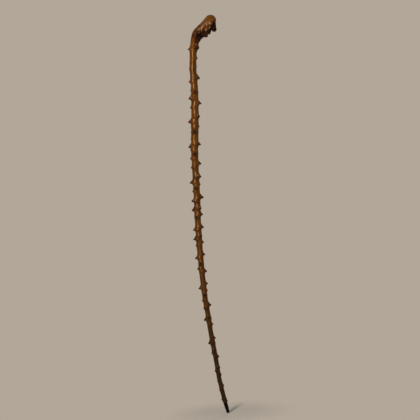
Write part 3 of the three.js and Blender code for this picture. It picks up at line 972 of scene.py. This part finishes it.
        depth = given["Stub length"] + given["Root depth"]
        cone = tree.node("GeometryNodeMeshCone", {"fill_type": "TRIANGLE_FAN"}, {
            "Vertices": self.stub_sides, "Side Segments": self.stub_rings, "Fill Segments": 2,
            "Radius Top": given["Tip radius"], "Radius Bottom": given["Base radius"],
            "Depth": depth,
        })
        place = tree.node("GeometryNodeInputPosition")
        share = tree.node("ShaderNodeSeparateXYZ", {}, {0: place}, "Z") / depth
        taper = given["Base radius"] - given["Tip radius"]
        straight = given["Tip radius"] + taper * (1 - share)
        flared = given["Tip radius"] + taper * ((1 - share).most(0) ** given["Flare"])
        pinch = flared / straight
        scale = tree.node("ShaderNodeCombineXYZ", {}, {0: pinch, 1: pinch, 2: 1.0})
        drop = tree.node("ShaderNodeCombineXYZ", {}, {2: given["Root depth"] * -1})
        sunk = {0: tree.stretched(place, scale), 1: drop}
        shaped = tree.node("ShaderNodeVectorMath", {"operation": "ADD"}, sunk)
        stub = tree.node("GeometryNodeSetPosition", {}, {"Geometry": cone, "Position": shaped})

        def named(mark: Mark, kind: str = "FLOAT_VECTOR") -> Wire:
            """A number or vector that the places carry."""
            values = {"Name": mark.value}
            return tree.node("GeometryNodeInputNamedAttribute", {"data_type": kind}, values)

        def drawn(reach: tuple, seed: Wire) -> Wire:
            """A random number within this reach."""
            values = {"Min_001": reach[0], "Max_001": reach[1], "Seed": seed}
            return tree.node("FunctionNodeRandomValue", {"data_type": "FLOAT"}, values, "Value_001")

        axes = {"primary_axis": "Z", "secondary_axis": "X"}
        ways = {0: named(Mark.AXIS), 1: named(Mark.STEM_WAY)}
        turn = tree.node("FunctionNodeAxesToRotation", axes, ways)
        size = named(Mark.SIZE, "FLOAT")
        broad, narrow = drawn(self.broad, given["Seed"]), drawn(self.narrow, given["Seed"] + 1)
        scale = tree.node("ShaderNodeCombineXYZ", {}, {0: size * broad, 1: size * narrow, 2: size})
        grown = tree.node("GeometryNodeInstanceOnPoints", {}, {
            "Points": given["Places"], "Instance": stub, "Rotation": turn, "Scale": scale,
        })
        plain = tree.node("GeometryNodeRealizeInstances", {}, {0: grown})
        dressed = tree.node("GeometryNodeSetMaterial", {}, {"Geometry": plain, "Material": wood})
        sink = group.nodes.new("NodeGroupOutput")
        group.links.new(dressed.socket, sink.inputs["Thorns"])
        return group

    def grow(self, wood: bpy.types.Material) -> bpy.types.Mesh:
        """Grow every stub with Geometry Nodes.

        Args:
            wood: the material that the stubs wear.

        Returns:
            One plain mesh of all the stubs.
        """
        places = new_object("thorn_places", self.feet, [])
        put_mark(places.data, Mark.AXIS, self.axes)
        put_mark(places.data, Mark.STEM_WAY, self.stem_ways)
        put_mark(places.data, Mark.SIZE, self.sizes)
        sizes = {
            "Stub length": self.length,
            "Base radius": self.base_radius + self.root_depth * self.root_spread,
            "Tip radius": self.tip_radius,
            "Root depth": self.root_depth,
            "Flare": self.flare,
            "Seed": self.seed,
        }
        modifier = places.modifiers.new("grow", "NODES")
        modifier.node_group = self._growth_tree(sizes, wood)
        for item in modifier.node_group.interface.items_tree:
            if item.name in sizes:
                modifier[item.identifier] = sizes[item.name]
        mesh = evaluated(places, "cut_thorns")
        places.modifiers.clear()
        bpy.data.objects.remove(places)
        return mesh

    def ring_marks(self, lengths: np.ndarray) -> np.ndarray:
        """Work out how strongly the dark rings show.

        Args:
            lengths: lengths along the stick.

        Returns:
            The strength at each length.
        """
        shares = np.array(self.rings)
        away = np.abs(lengths[:, None] - self.line.length_at_share(shares[:, 0]))
        return (eased(away, self.ring_reach, 0) * shares[:, 1]).max(axis=1)

    def marks(self, points: np.ndarray, lengths: np.ndarray) -> tuple[np.ndarray, np.ndarray]:
        """Find the thorns' cut ends and the collars round them.

        Args:
            points: the points of the wood.
            lengths: how far along the line each of them is.

        Returns:
            The share of cut end and the share of collar at each point.
        """
        tips, collars = np.zeros(len(points)), np.zeros(len(points))
        for foot, axis, size, length in zip(self.feet, self.axes, self.sizes, self.lengths):
            near = np.nonzero(np.abs(lengths - length) < self.mark_reach)[0]
            offset = points[near] - foot
            out = offset @ axis
            aside = np.linalg.norm(offset - out[:, None] * axis, axis=1) / (self.base_radius * size)
            tip = eased(out / (self.length * size), *self.cut_band)
            tip *= 1 - eased(aside, *self.cut_girth)
            collar = (1 - eased(aside, *self.collar_girth)) * eased(out, *self.collar_band)
            tips[near] = np.maximum(tips[near], tip)
            collars[near] = np.maximum(collars[near], collar)
        return tips, collars


# Handle


@dataclass(frozen=True)
class Root:
    """A root of the handle: rows of X, Y, Z and its radius there, in millimetres."""

    rows: tuple
    sides: int = 20
    cap_steps: int = 6
    helper: tuple = (0.3, 1.0, 0.1)

    def build(self, steps: int = 8) -> Skin:
        """Make a smooth round-ended bar.

        Args:
            steps: rings between two rows.

        Returns:
            Points and faces.
        """
        rows = np.array(self.rows, float) * MM
        line, radii = curve(rows[:, :3], steps), curve(rows[:, 3:], steps, False)[:, 0]
        ways = unit(np.gradient(line, axis=0))
        first = unit(np.cross(self.helper, ways))
        second = np.cross(ways, first)
        turns = even_turns(self.sides)
        angles = np.arange(1, self.cap_steps) / self.cap_steps * math.pi / 2
        caps = [(math.cos(angle), math.sin(angle)) for angle in angles]
        start, end = ways[0] * radii[0], ways[-1] * radii[-1]
        stack = [(line[0] - start * back, radii[0] * out, 0) for back, out in caps]
        stack += [(line[i], radii[i], i) for i in range(len(line))]
        stack += [(line[-1] + end * on, radii[-1] * out, -1) for out, on in caps]
        rings = []
        for centre, reach, i in stack:
            circle = np.outer(np.cos(turns), first[i]) + np.outer(np.sin(turns), second[i])
            rings.append(centre + reach * circle)
        return skin(np.array(rings), line[0] - start, line[-1] + end)


@dataclass(frozen=True)
class Patch:
    """A patch of the handle's flank: millimetre middle line in X and Z, reach and strength."""

    path: tuple
    reach: float
    strength: float = 1
    full_share: float = 0.3

    def share(self, points: np.ndarray) -> np.ndarray:
        """How far each point belongs to the patch, most near its middle line."""
        far = from_path(points, self.path)[0] / (self.reach * MM)
        return eased(far, 1, self.full_share) * self.strength


@dataclass
class RootKnob:
    """The root knob that serves as the handle: its stubs, ridges, knot and dark underside."""

    # Rows of each root: the near side's, then the far side's and those under the middle
    roots: tuple = (
        ((24, -2, 903, 10.5), (28.4, -4, 893, 6.8), (29.6, -4.5, 884.6, 5.6)),
        ((18, -2, 904, 7), (21.4, -6.5, 898.5, 8), (20.2, -7.4, 889, 5.4), (17, -7.4, 877, 3.8)),
        ((11.5, -3, 903, 5), (15, -7.8, 899.4, 6.3), (12, -7.6, 888, 5), (9.9, -6.6, 871.4, 4.4)),
        ((1, -3, 895.5, 4.5), (4.6, -6.8, 894, 5.8), (1.6, -7.4, 885, 5), (2.4, -6, 875, 4.6)),
        ((-4.6, -3, 880, 6.6), (-5.2, -8.2, 878, 5.2), (-5.2, -10.2, 877.4, 4.6)),
        ((12, 1.5, 902, 6.5), (16, 5.1, 896, 7.7), (18, 7.6, 888, 6), (17.4, 6.5, 880, 3.8)),
        ((4, 2, 896, 6), (8, 5.3, 892, 7), (8, 7.6, 882, 5.9), (8.4, 6.5, 875, 4)),
        ((-3, 1.5, 888, 6), (0, 4.4, 884, 7.2), (-2, 6.5, 877, 5.8), (-1.5, 5, 871.5, 4.6)),
        ((21, 0, 895, 8), (14, 0, 884, 7), (7, 0, 877, 5.8), (-0.5, 0, 871.5, 4.8)),
        ((-5, 0, 878, 8), (-5.5, -1, 868, 5.4), (-11.4, -1, 858, 4)),
    )
    # Edge of the dark underside, from the nose down to the neck
    edge: tuple = (
        (38, 904.8), (33.2, 903), (29.5, 899.6), (25.7, 895.8), (23.1, 892), (20, 888),
        (16.7, 884), (11.9, 881.8), (5, 882.6), (-4.2, 883.8), (-7.7, 882.8), (-11.4, 879.6),
        (-12.8, 873.4), (-11.6, 867.5), (-9.5, 862.7), (-8, 857), (-3, 848),
    )
    # A darker, redder band down the neck under the handle
    neck_band: tuple = (
        Patch((
            (-24, 879), (-22.5, 873), (-17.6, 873.4), (-13.6, 872.6), (-12.6, 867), (-14, 860),
            (-15.4, 853), (-14.5, 845),
        ), 5.4),
    )
    dull: tuple = (
        Patch(((-3, 892), (-13, 883), (-19, 872), (-19.5, 862)), 7),
        Patch(((9.6, 892.4), (10.8, 888)), 4, 0.75),
        Patch(((18.2, 894.6), (18.6, 892.4)), 3.4, 0.75),
    )
    # These patches are painted highlights: pale tan laid where the highlight falls on the flank, on
    # the eye knot and on the neck's thorn
    rubbed: tuple = (
        Patch(((-6.3, 886.8), (-1.5, 889.2), (5, 893.4), (8.4, 897.8)), 4.4),
        Patch(((8.4, 897.8), (15.6, 901.9)), 4.2, 0.8),
        Patch(((19.6, 901.6), (22.2, 898)), 3.4),
        Patch(((12.2, 886.4), (12.4, 884.4)), 2.6, 0.8),
        Patch(((-5.8, 880.2), (-5.4, 879)), 2.6, 0.6),
        Patch(((-14.8, 853.8), (-14.2, 851.6)), 2.6, 0.7),
    )
    # How the bark's edge, its front part and the red above it wander
    edge_wander: Ripple = Ripple(7 * MM, 21, 1.4 * MM)
    front_wander: Ripple = Ripple(10 * MM, 23, 3.2 * MM)
    flush_wander: Ripple = Ripple(9 * MM, 25, 1.6 * MM)
    # Bands across the edge in which bark and red begin, and where the front and the red lie
    bark_band: tuple = (-2.8 * MM, 1.8 * MM)
    flush_band: tuple = (-8 * MM, -0.5 * MM)
    front_reach: tuple = (25 * MM, 33 * MM)
    front_width: tuple = (12 * MM, 5 * MM)
    flush_reach: tuple = (-6 * MM, 8 * MM)

    def parts(self) -> list[Skin]:
        """Every root as points and faces."""
        return [Root(rows).build() for rows in self.roots]

    def bark(self, points: np.ndarray) -> np.ndarray:
        """Work out where the dark root bark is.

        Args:
            points: the points of the wood.

        Returns:
            The share of bark at each point.
        """
        front = eased(np.abs(points[:, 1]), *self.front_width)
        front *= eased(points[:, 0], *self.front_reach)
        wander = self.edge_wander.over(points) + self.front_wander.over(points) * front
        return eased(from_path(points, self.edge)[1] + wander, *self.bark_band)

    def flush(self, points: np.ndarray) -> np.ndarray:
        """Work out how far the wood above the bark reddens towards it.

        Args:
            points: the points of the wood.

        Returns:
            The share of red at each point.
        """
        inward = from_path(points, self.edge)[1] + self.flush_wander.over(points)
        return eased(inward, *self.flush_band) * eased(points[:, 0], *self.flush_reach)

    def marks(self, points: np.ndarray) -> dict[Mark, np.ndarray]:
        """Work out the handle's marks.

        Args:
            points: the points of the wood.

        Returns:
            The share of each mark at each point.
        """
        marks = {Mark.BARK: self.bark(points), Mark.FLUSH: self.flush(points)}
        patched = {Mark.NECK_BAND: self.neck_band, Mark.DULL: self.dull, Mark.PAINTED_HIGHLIGHT: self.rubbed}
        for mark, patches in patched.items():
            marks[mark] = np.max([patch.share(points) for patch in patches], axis=0)
        return marks


# The wooden piece


@dataclass
class ThornStick:
    """The one grown piece of wood: shank, thorns, root knob and the spigot in the ferrule."""

    line: StickLine
    thorns: CutThorns
    knob: RootKnob
    sides: int = 64
    ring_step: float = 1.1 * MM
    dome_steps: int = 14
    under_width: float = 0.3
    under_shift: float = 0.1
    flatness: float = 0.3
    spigot_start: float = 9 * MM
    spigot_overlap: float = 3 * MM
    spigot_radii: tuple = (2.4, 3.1)
    voxel: float = 0.62 * MM
    most_faces: int = 190000
    # Shares drawn in and then let out again in each round of softening, of all and of the handle
    soft_rounds: int = 4
    soft_shares: tuple = (0.6, -0.62)
    handle_rounds: int = 5
    handle_shares: tuple = (0.6, -0.5)
    hollow_rounds: int = 24
    hollow_depth: float = 0.5 * MM
    # Heights between which the handle's flat flanks, its softer skin and its lumpy bark begin
    flat_band: tuple = (868 * MM, 892 * MM)
    soft_band: tuple = (855 * MM, 868 * MM)
    lumpy_band: tuple = (848 * MM, 862 * MM)
    # Unevenness along the grain, of all the wood and of the bark
    grain_ripple: Ripple = Ripple(12 * MM, 3, 0.14 * MM)
    wood_ripple: Ripple = Ripple(5 * MM, 5, 0.02 * MM)
    bark_ripples: tuple = (Ripple(6.5 * MM, 11, 0.5 * MM), Ripple(3.2 * MM, 12, 0.25 * MM))
    grain_draw: tuple = (1, 1, 0.35)

    def _body(self) -> Skin:
        """Loft the shank and the handle's core.

        Returns:
            Points and faces.
        """
        count = math.ceil(self.line.length / self.ring_step)
        lengths = np.linspace(0, self.line.length, count)
        turns = even_turns(self.sides)
        angles = np.arange(1, self.dome_steps) / self.dome_steps * math.pi / 2
        dome = np.full(len(angles), self.line.length)
        station = self.line.at(np.concatenate([lengths, dome]))
        reach = self.thorns.swelling(lengths, turns)
        reach = np.vstack([reach, np.zeros((len(angles), self.sides))])
        shrink = np.concatenate([np.ones(count), np.cos(angles)])[:, None]
        rise = np.concatenate([np.zeros(count), np.sin(angles)])[:, None]
        nose = station.along * self.line.nose_radius
        centre = station.centre + nose * rise
        wide = (station.radii[:, :1] + reach) * shrink * np.cos(turns)
        handle = eased(centre[:, 2], *self.flat_band)[:, None]
        blunt = 1 - handle * self.flatness
        side = np.sign(np.sin(turns)) * np.abs(np.sin(turns)) ** blunt
        deep = (station.radii[:, 1:] + reach) * shrink * side
        deep = deep * (1 + handle * self.under_width * (np.cos(turns) - self.under_shift))
        rings = centre[:, None] + station.outward[:, None] * wide[..., None]
        rings = rings + station.across[:, None] * deep[..., None]
        return skin(rings, station.centre[0], station.centre[-1] + nose[-1])

    def _spigot(self) -> Skin:
        """Turn the foot of the wood inside the ferrule's sleeve.

        Returns:
            Points and faces.
        """
        low = self.line.tip_centre + self.line.foot_axis * self.spigot_start
        high = self.line.shoulder + self.line.foot_axis * self.spigot_overlap
        rows = ((*end / MM, radius) for end, radius in zip((low, high), self.spigot_radii))
        return Root(tuple(rows)).build(2)

    def _fused(self, wood: bpy.types.Material) -> bpy.types.Mesh:
        """Join every part of the wood into one closed skin.

        Args:
            wood: the material that it wears.

        Returns:
            The fused mesh.
        """
        stubs = self.thorns.grow(wood)
        grown = (read_points(stubs), [tuple(face.vertices) for face in stubs.polygons])
        parts = [self._body(), self._spigot(), grown, *self.knob.parts()]
        source = new_object("wood_parts", *joined(parts))
        bpy.data.meshes.remove(stubs)
        remesh = source.modifiers.new("fuse", "REMESH")
        remesh.mode = "VOXEL"
        remesh.voxel_size = self.voxel
        mesh = evaluated(source, "fused_wood")
        bpy.data.objects.remove(source)
        return mesh

    def _softened(self, mesh: bpy.types.Mesh) -> None:
        """Ease the fused skin where its parts meet, and make the wood a little uneven.

        Args:
            mesh: the skin, which is changed.
        """
        near = Neighbours(mesh)
        points = read_points(mesh)
        for share in self.soft_shares * self.soft_rounds:
            points = near.drawn(points, share)
        handle = eased(points[:, 2], *self.soft_band)[:, None]
        for share in self.handle_shares * self.handle_rounds:
            points = near.drawn(points, share * handle)
        put_points(mesh, points)
        place = self.line.straightened(points)
        lumpy = self.knob.bark(points) * eased(points[:, 2], *self.lumpy_band)
        uneven = self.grain_ripple.over(place * self.grain_draw) + self.wood_ripple.over(place)
        uneven += sum(rough.over(points) for rough in self.bark_ripples) * lumpy
        uneven *= eased(place[:, 2], 0, self.spigot_overlap)
        put_points(mesh, points + read_points(mesh, "normal") * uneven[:, None])

    def _hollow(self, mesh: bpy.types.Mesh) -> np.ndarray:
        """Find the dips of the wood.

        Args:
            mesh: the finished skin.

        Returns:
            How deep each point lies in a dip, from -1 where it stands proud to 1.
        """
        points, near = read_points(mesh), Neighbours(mesh)
        smooth = points
        for _ in range(self.hollow_rounds):
            smooth = near.middle(smooth)
        depth = along(smooth - points, read_points(mesh, "normal"))
        return np.clip(depth / self.hollow_depth, -1, 1)

    def _thinned(self, mesh: bpy.types.Mesh) -> bpy.types.Mesh:
        """Bring the skin under the largest number of triangles.

        Args:
            mesh: the skin.

        Returns:
            The skin, or a thinner one.
        """
        triangles = sum(len(face.vertices) - 2 for face in mesh.polygons)
        if triangles <= self.most_faces:
            return mesh
        holder = into_scene("wood_skin", mesh)
        thin = holder.modifiers.new("thin", "DECIMATE")
        thin.ratio = self.most_faces / triangles
        made = evaluated(holder, "thorn_stick_wood")
        bpy.data.objects.remove(holder)
        return made

    def build(self, wood: bpy.types.Material) -> bpy.types.Object:
        """Make the wooden piece and set it in the frame.

        Args:
            wood: its finish.

        Returns:
            The finished piece.
        """
        fused = self._fused(wood)
        self._softened(fused)
        mesh = self._thinned(fused)
        points = read_points(mesh)
        place = self.line.straightened(points)
        tips, collars = self.thorns.marks(points, place[:, 2])
        marks = {
            Mark.PLACE: place,
            Mark.RISE: place[:, 2] / self.line.length,
            Mark.TIP: tips,
            Mark.COLLAR: collars,
            Mark.RING: self.thorns.ring_marks(place[:, 2]),
            Mark.HOLLOW: self._hollow(mesh),
            **self.knob.marks(points),
        }
        for mark, values in marks.items():
            put_mark(mesh, mark, values)
        mesh.materials.clear()
        mesh.materials.append(wood)
        mesh.shade_smooth()
        return in_frame(into_scene("thorn_stick_wood", mesh), Node.WOOD)


# Ferrule


@dataclass
class Lathe:
    """An axis to turn profiles round, with the way square to it that the turn starts from."""

    base: np.ndarray
    axis: np.ndarray
    first: np.ndarray
    sides: int

    def turn(self, profile: Sequence[tuple], ends: tuple[float, float] | None = None) -> Skin:
        """Turn a profile.

        Args:
            profile: pairs of radius and height, from the bottom up on the outside.
            ends: heights of the points that close it, or None where it comes back to its start.

        Returns:
            Points and faces.
        """
        turns, second = even_turns(self.sides), np.cross(self.axis, self.first)
        circle = np.outer(np.cos(turns), self.first) + np.outer(np.sin(turns), second)
        rings = np.array([self.base + self.axis * rise + circle * out for out, rise in profile])
        if ends:
            return skin(rings, *(self.base + self.axis * end for end in ends))
        starts = [ring * self.sides for ring in range(len(profile))]
        pairs = zip(starts, [*starts[1:], 0])
        faces = [face for low, high in pairs for face in ring_faces(low, high, self.sides)]
        return rings.reshape(-1, 3), faces


@dataclass
class Ferrule:
    """The slim tapered ferrule: a sleeve, a domed tip worn flat and the pin that holds them."""

    line: StickLine
    mouth_radius: float = 4.6 * MM
    toe_radius: float = 4 * MM
    wall: float = 0.8 * MM
    chamfer: float = 0.25 * MM
    head_length: float = 2.4 * MM
    tang_length: float = 5 * MM
    pin_radius: float = 0.7 * MM
    pin_length: float = 3 * MM
    pin_head_radius: float = 1.4 * MM
    pin_head_height: float = 0.7 * MM
    pin_drop: float = 5.5 * MM
    sides: int = 72
    pin_sides: int = 24
    sleeve_steps: int = 26
    dome_steps: int = 14
    crease: float = math.radians(38)
    # How far the sleeve's mouth and toe are rubbed and how much, the tip's flat, and the pin
    mouth_wear: tuple = (1.6 * MM, 0.7)
    toe_wear: tuple = (2 * MM, 0.5)
    ground_band: tuple = (-3.4 * MM, -1.2 * MM)
    pin_wear: float = 0.7
    black: WornMetal = WornMetal(
        "blackened_sleeve", written(7, 4, 1), written(46, 31, 20), 0.1, 0.6, 0.35
    )
    iron: WornMetal = WornMetal(
        "worn_tip_iron", written(9, 7, 4), written(70, 62, 52), 0.3, 0.55, 0.6
    )
    brass: WornMetal = WornMetal(
        "old_pin_brass", written(70, 56, 34), written(140, 116, 74), 0.85, 0.4, 0.8
    )

    def __post_init__(self) -> None:
        """Set the ferrule's axis up and find where its sleeve starts."""
        axis, outward = self.line.foot_axis, np.cross(SIDEWAYS, self.line.foot_axis)
        self.lathe = Lathe(self.line.tip_centre, axis, outward, self.sides)
        self.toe_height = self.head_length + self.line.seat_gap

    def _radius_at(self, height: float) -> float:
        """The sleeve's outer radius at a height over the tip's centre."""
        share = (height - self.toe_height) / (self.line.mouth_height - self.toe_height)
        return self.toe_radius + (self.mouth_radius - self.toe_radius) * share

    def _sleeve(self) -> Skin:
        """Turn the sleeve with its rolled edges.

        Returns:
            Points and faces.
        """
        low, high, edge = self.toe_height, self.line.mouth_height, self.chamfer
        heights = np.linspace(low + edge * 2, high - edge * 2, self.sleeve_steps)
        outside = [(self._radius_at(h), h) for h in heights]
        rim = [
            (self.mouth_radius - edge * 0.1, high - edge),
            (self.mouth_radius - edge * 0.45, high - edge * 0.3),
            (self.mouth_radius - edge, high),
            (self.mouth_radius - self.wall, high),
        ]
        inside = [(self._radius_at(h) - self.wall, h) for h in heights[::-6]]
        toe = [
            (self.toe_radius - self.wall, low),
            (self.toe_radius - edge, low),
            (self.toe_radius - edge * 0.3, low + edge * 0.4),
        ]
        return self.lathe.turn([*outside, *rim, *inside, *toe])

    def _tip(self) -> Skin:
        """Turn the tip, with its dome worn flat on the ground.

        Returns:
            Points and faces.
        """
        radius = self.line.tip_radius
        angles = np.linspace(0.08, 1, self.dome_steps) * math.pi / 2
        dome = [(radius * math.sin(a), -radius * math.cos(a)) for a in angles]
        bore = self._radius_at(self.head_length) - self.wall - self.line.seat_gap * 1.5
        top = self.head_length + self.tang_length
        upper = [
            (radius, self.head_length - self.chamfer),
            (radius - self.chamfer, self.head_length),
            (bore, self.head_length),
            (bore, top),
            (bore * 0.5, top),
        ]
        points, faces = self.lathe.turn([*dome, *upper], (dome[0][1], top))
        points[:, 2] = np.maximum(points[:, 2], 0)
        return points, faces

    def _pin(self) -> Skin:
        """Turn the round-headed pin in the far side of the sleeve.

        Returns:
            Points and faces.
        """
        height = self.line.mouth_height - self.pin_drop
        place = self.line.tip_centre + self.line.foot_axis * height
        seat = self._radius_at(height) + self.line.seat_gap
        end, top = seat - self.pin_length, seat + self.pin_head_height
        profile = [
            (self.pin_radius * 0.4, end),
            (self.pin_radius, end + self.pin_radius),
            (self.pin_radius, seat),
            (self.pin_head_radius, seat),
            (self.pin_head_radius, seat + self.pin_head_height * 0.3),
            (self.pin_head_radius * 0.85, seat + self.pin_head_height * 0.65),
            (self.pin_head_radius * 0.5, seat + self.pin_head_height * 0.92),
        ]
        lathe = Lathe(place, SIDEWAYS, np.array([0.0, 0.0, 1.0]), self.pin_sides)
        return lathe.turn(profile, (end, top))

    def _wear(self, points: np.ndarray, node: Node) -> np.ndarray:
        """Work out where a piece is rubbed: its rims, its ground flat or its head.

        Args:
            points: its points.
            node: the CAD node that it stands for.

        Returns:
            The wear at each point.
        """
        height = (points - self.line.tip_centre) @ self.line.foot_axis
        mouth, toe = self.line.mouth_height, self.toe_height
        if node is Node.SLEEVE:
            (down, most), (up, least) = self.mouth_wear, self.toe_wear
            rim = eased(height, mouth - down, mouth) * most
            return np.maximum(rim, (1 - eased(height, toe, toe + up)) * least)
        if node is Node.TIP:
            return 1 - eased(height, *self.ground_band)
        return np.full(len(points), self.pin_wear)

    def build(self) -> list[bpy.types.Object]:
        """Make the three pieces and set them in the frame.

        Returns:
            The finished pieces.
        """
        plan = (
            ("ferrule_sleeve_black", self._sleeve(), self.black, Node.SLEEVE, Slot.SLEEVE),
            ("ferrule_tip_iron", self._tip(), self.iron, Node.TIP, Slot.TIP),
            ("ferrule_pin_head", self._pin(), self.brass, Node.PIN, Slot.PIN),
        )
        made = []
        for name, (points, faces), finish, node, slot in plan:
            piece = new_object(name, points, faces)
            put_mark(piece.data, Mark.WEAR, self._wear(read_points(piece.data), node))
            piece.data.materials.append(finish.build())
            piece.data.shade_smooth()
            piece.data.set_sharp_from_angle(angle=self.crease)
            made.append(in_frame(piece, node))
        return made


# Studio


@dataclass(frozen=True)
class Lamp:
    """A soft rectangular lamp: its place, its width and height, and how bright its face is."""

    name: str
    place: tuple
    size: tuple
    radiance: float

    def hang(self, aim: Vector) -> None:
        """Put the lamp in the scene.

        Args:
            aim: the point that it faces.
        """
        data = bpy.data.lights.new(self.name, "AREA")
        data.shape = "RECTANGLE"
        data.size, data.size_y = self.size
        data.energy = self.radiance * math.pi * self.size[0] * self.size[1]
        made = into_scene(self.name, data)
        made.location = self.place
        made.rotation_euler = (aim - Vector(self.place)).to_track_quat("-Z", "Y").to_euler()


@dataclass
class Studio:
    """A plain pale studio with soft lamps and the camera that faces the stick."""

    view_centre: tuple = (-8.8 * MM, 470.2 * MM)
    view_width: float = 0.9701
    distance: float = 2.6
    roll: float = math.radians(4)
    sensor_width: float = 36
    lamps: tuple = (
        Lamp("key_lamp", (-0.74, -1.75, 1.1), (0.22, 0.8), 43),
        Lamp("back_lamp", (0.5, 2.2, 1.05), (1.1, 1.1), 2.2),
    )
    lamp_aim: tuple = (0, 0, 0.5)
    backdrop: Colour = written(178, 167, 153)
    fill_colour: tuple = (1, 0.985, 0.96, 1)
    fill_strength: float = 0.24
    # The fill's share from behind and from below, and the bands over which it comes up
    fill_behind: float = 0.35
    fill_below: float = 0.45
    fill_front: tuple = (0.5, -0.4)
    fill_rise: tuple = (-0.7, 0.3)
    floor_light: Colour = written(226, 214, 198)
    floor_shade: Colour = written(214, 202, 186)
    floor_grain: float = 240
    floor_fade: tuple = (0.95, 0.25)
    floor_radii: tuple = (0.02, 0.04, 0.07, 0.1, 0.14, 0.18)
    floor_sides: int = 96

    def camera(self) -> None:
        """Set the camera square to the stick, turned so that the stick leans as it should."""
        data = bpy.data.cameras.new("front_camera")
        data.sensor_width = self.sensor_width
        data.lens = data.sensor_width * self.distance / self.view_width
        right = Vector((math.cos(self.roll), 0, -math.sin(self.roll)))
        up = Vector((math.sin(self.roll), 0, math.cos(self.roll)))
        turn = Matrix((right, up, Vector((0, -1, 0)))).transposed()
        place = Vector((self.view_centre[0], -self.distance, self.view_centre[1]))
        made = into_scene("front_camera", data)
        made.matrix_world = Matrix.Translation(place) @ turn.to_4x4()
        bpy.context.scene.camera = made

    def world(self) -> None:
        """Light the studio softly, with a plain pale backdrop behind what the camera sees."""
        world = bpy.data.worlds.new("pale_studio")
        world.use_nodes = True
        world.node_tree.nodes.clear()
        tree = Tree(world.node_tree)
        path = tree.node("ShaderNodeLightPath", {}, {}, "Is Camera Ray")
        seen = path.most(path.beside("Is Glossy Ray")).most(path.beside("Is Transmission Ray"))
        way = tree.node("ShaderNodeTexCoord", {}, {}, "Generated")
        up = tree.node("ShaderNodeSeparateXYZ", {}, {0: way}, "Z")
        front = self.fill_behind + up.beside("Y").eased(*self.fill_front)
        above = self.fill_below + up.eased(*self.fill_rise) * (1 - self.fill_below)
        lit = {"Color": self.fill_colour, "Strength": front * above * self.fill_strength}
        fill = tree.node("ShaderNodeBackground", {}, lit)
        shown = tree.node("ShaderNodeBackground", {}, {"Color": (*self.backdrop, 1)})
        mixed = tree.node("ShaderNodeMixShader", {}, {0: seen, 1: fill, 2: shown})
        tree.node("ShaderNodeOutputWorld", {}, {"Surface": mixed})
        bpy.context.scene.world = world

    def floor(self) -> None:
        """Lay a pale round floor that fades out, so that it shows only the stick's shadow."""
        sides, turns = self.floor_sides, even_turns(self.floor_sides)
        circle = np.stack([np.cos(turns), np.sin(turns), turns * 0], axis=-1)
        points = np.vstack([*(circle * radius for radius in self.floor_radii), [0, 0, 0]])
        faces = [(len(points) - 1, side, (side + 1) % sides) for side in range(sides)]
        for ring in range(len(self.floor_radii) - 1):
            faces += ring_faces((ring + 1) * sides, ring * sides, sides)
        floor = new_object("studio_floor", points, faces)
        material, tree = new_material("pale_floor")
        place = tree.node("ShaderNodeTexCoord", {}, {}, "Object")
        away = tree.node("ShaderNodeVectorMath", {"operation": "LENGTH"}, {0: place}, "Value")
        grain = tree.noise(place, self.floor_grain).eased(0.3, 0.7) * 0.3
        shader = tree.principled({
            "Base Color": tree.blend(grain, self.floor_light, self.floor_shade),
            "Roughness": 0.9,
            "Specular IOR Level": 0.1,
            "Alpha": away.eased(*(self.floor_radii[-1] * share for share in self.floor_fade)),
        })
        tree.node("ShaderNodeOutputMaterial", {}, {"Surface": shader})
        floor.data.materials.append(material)

    def build(self) -> None:
        """Set up the whole studio."""
        bpy.context.scene.view_settings.view_transform = "Standard"
        self.camera()
        for lamp in self.lamps:
            lamp.hang(Vector(self.lamp_aim))
        self.world()
        self.floor()


def main() -> None:
    """Build the studio and the stick, and log each piece's triangles."""
    logging.basicConfig(level=logging.INFO, format="%(name)s %(message)s", stream=sys.stdout)
    Studio().build()
    line = StickLine()
    stick = ThornStick(line, CutThorns(line), RootKnob())
    for piece in (stick.build(VarnishedWood().build()), *Ferrule(line).build()):
        piece.data.calc_loop_triangles()
        log.info("%s: %d triangles", piece.name, len(piece.data.loop_triangles))


if __name__ == "__main__":
    main()
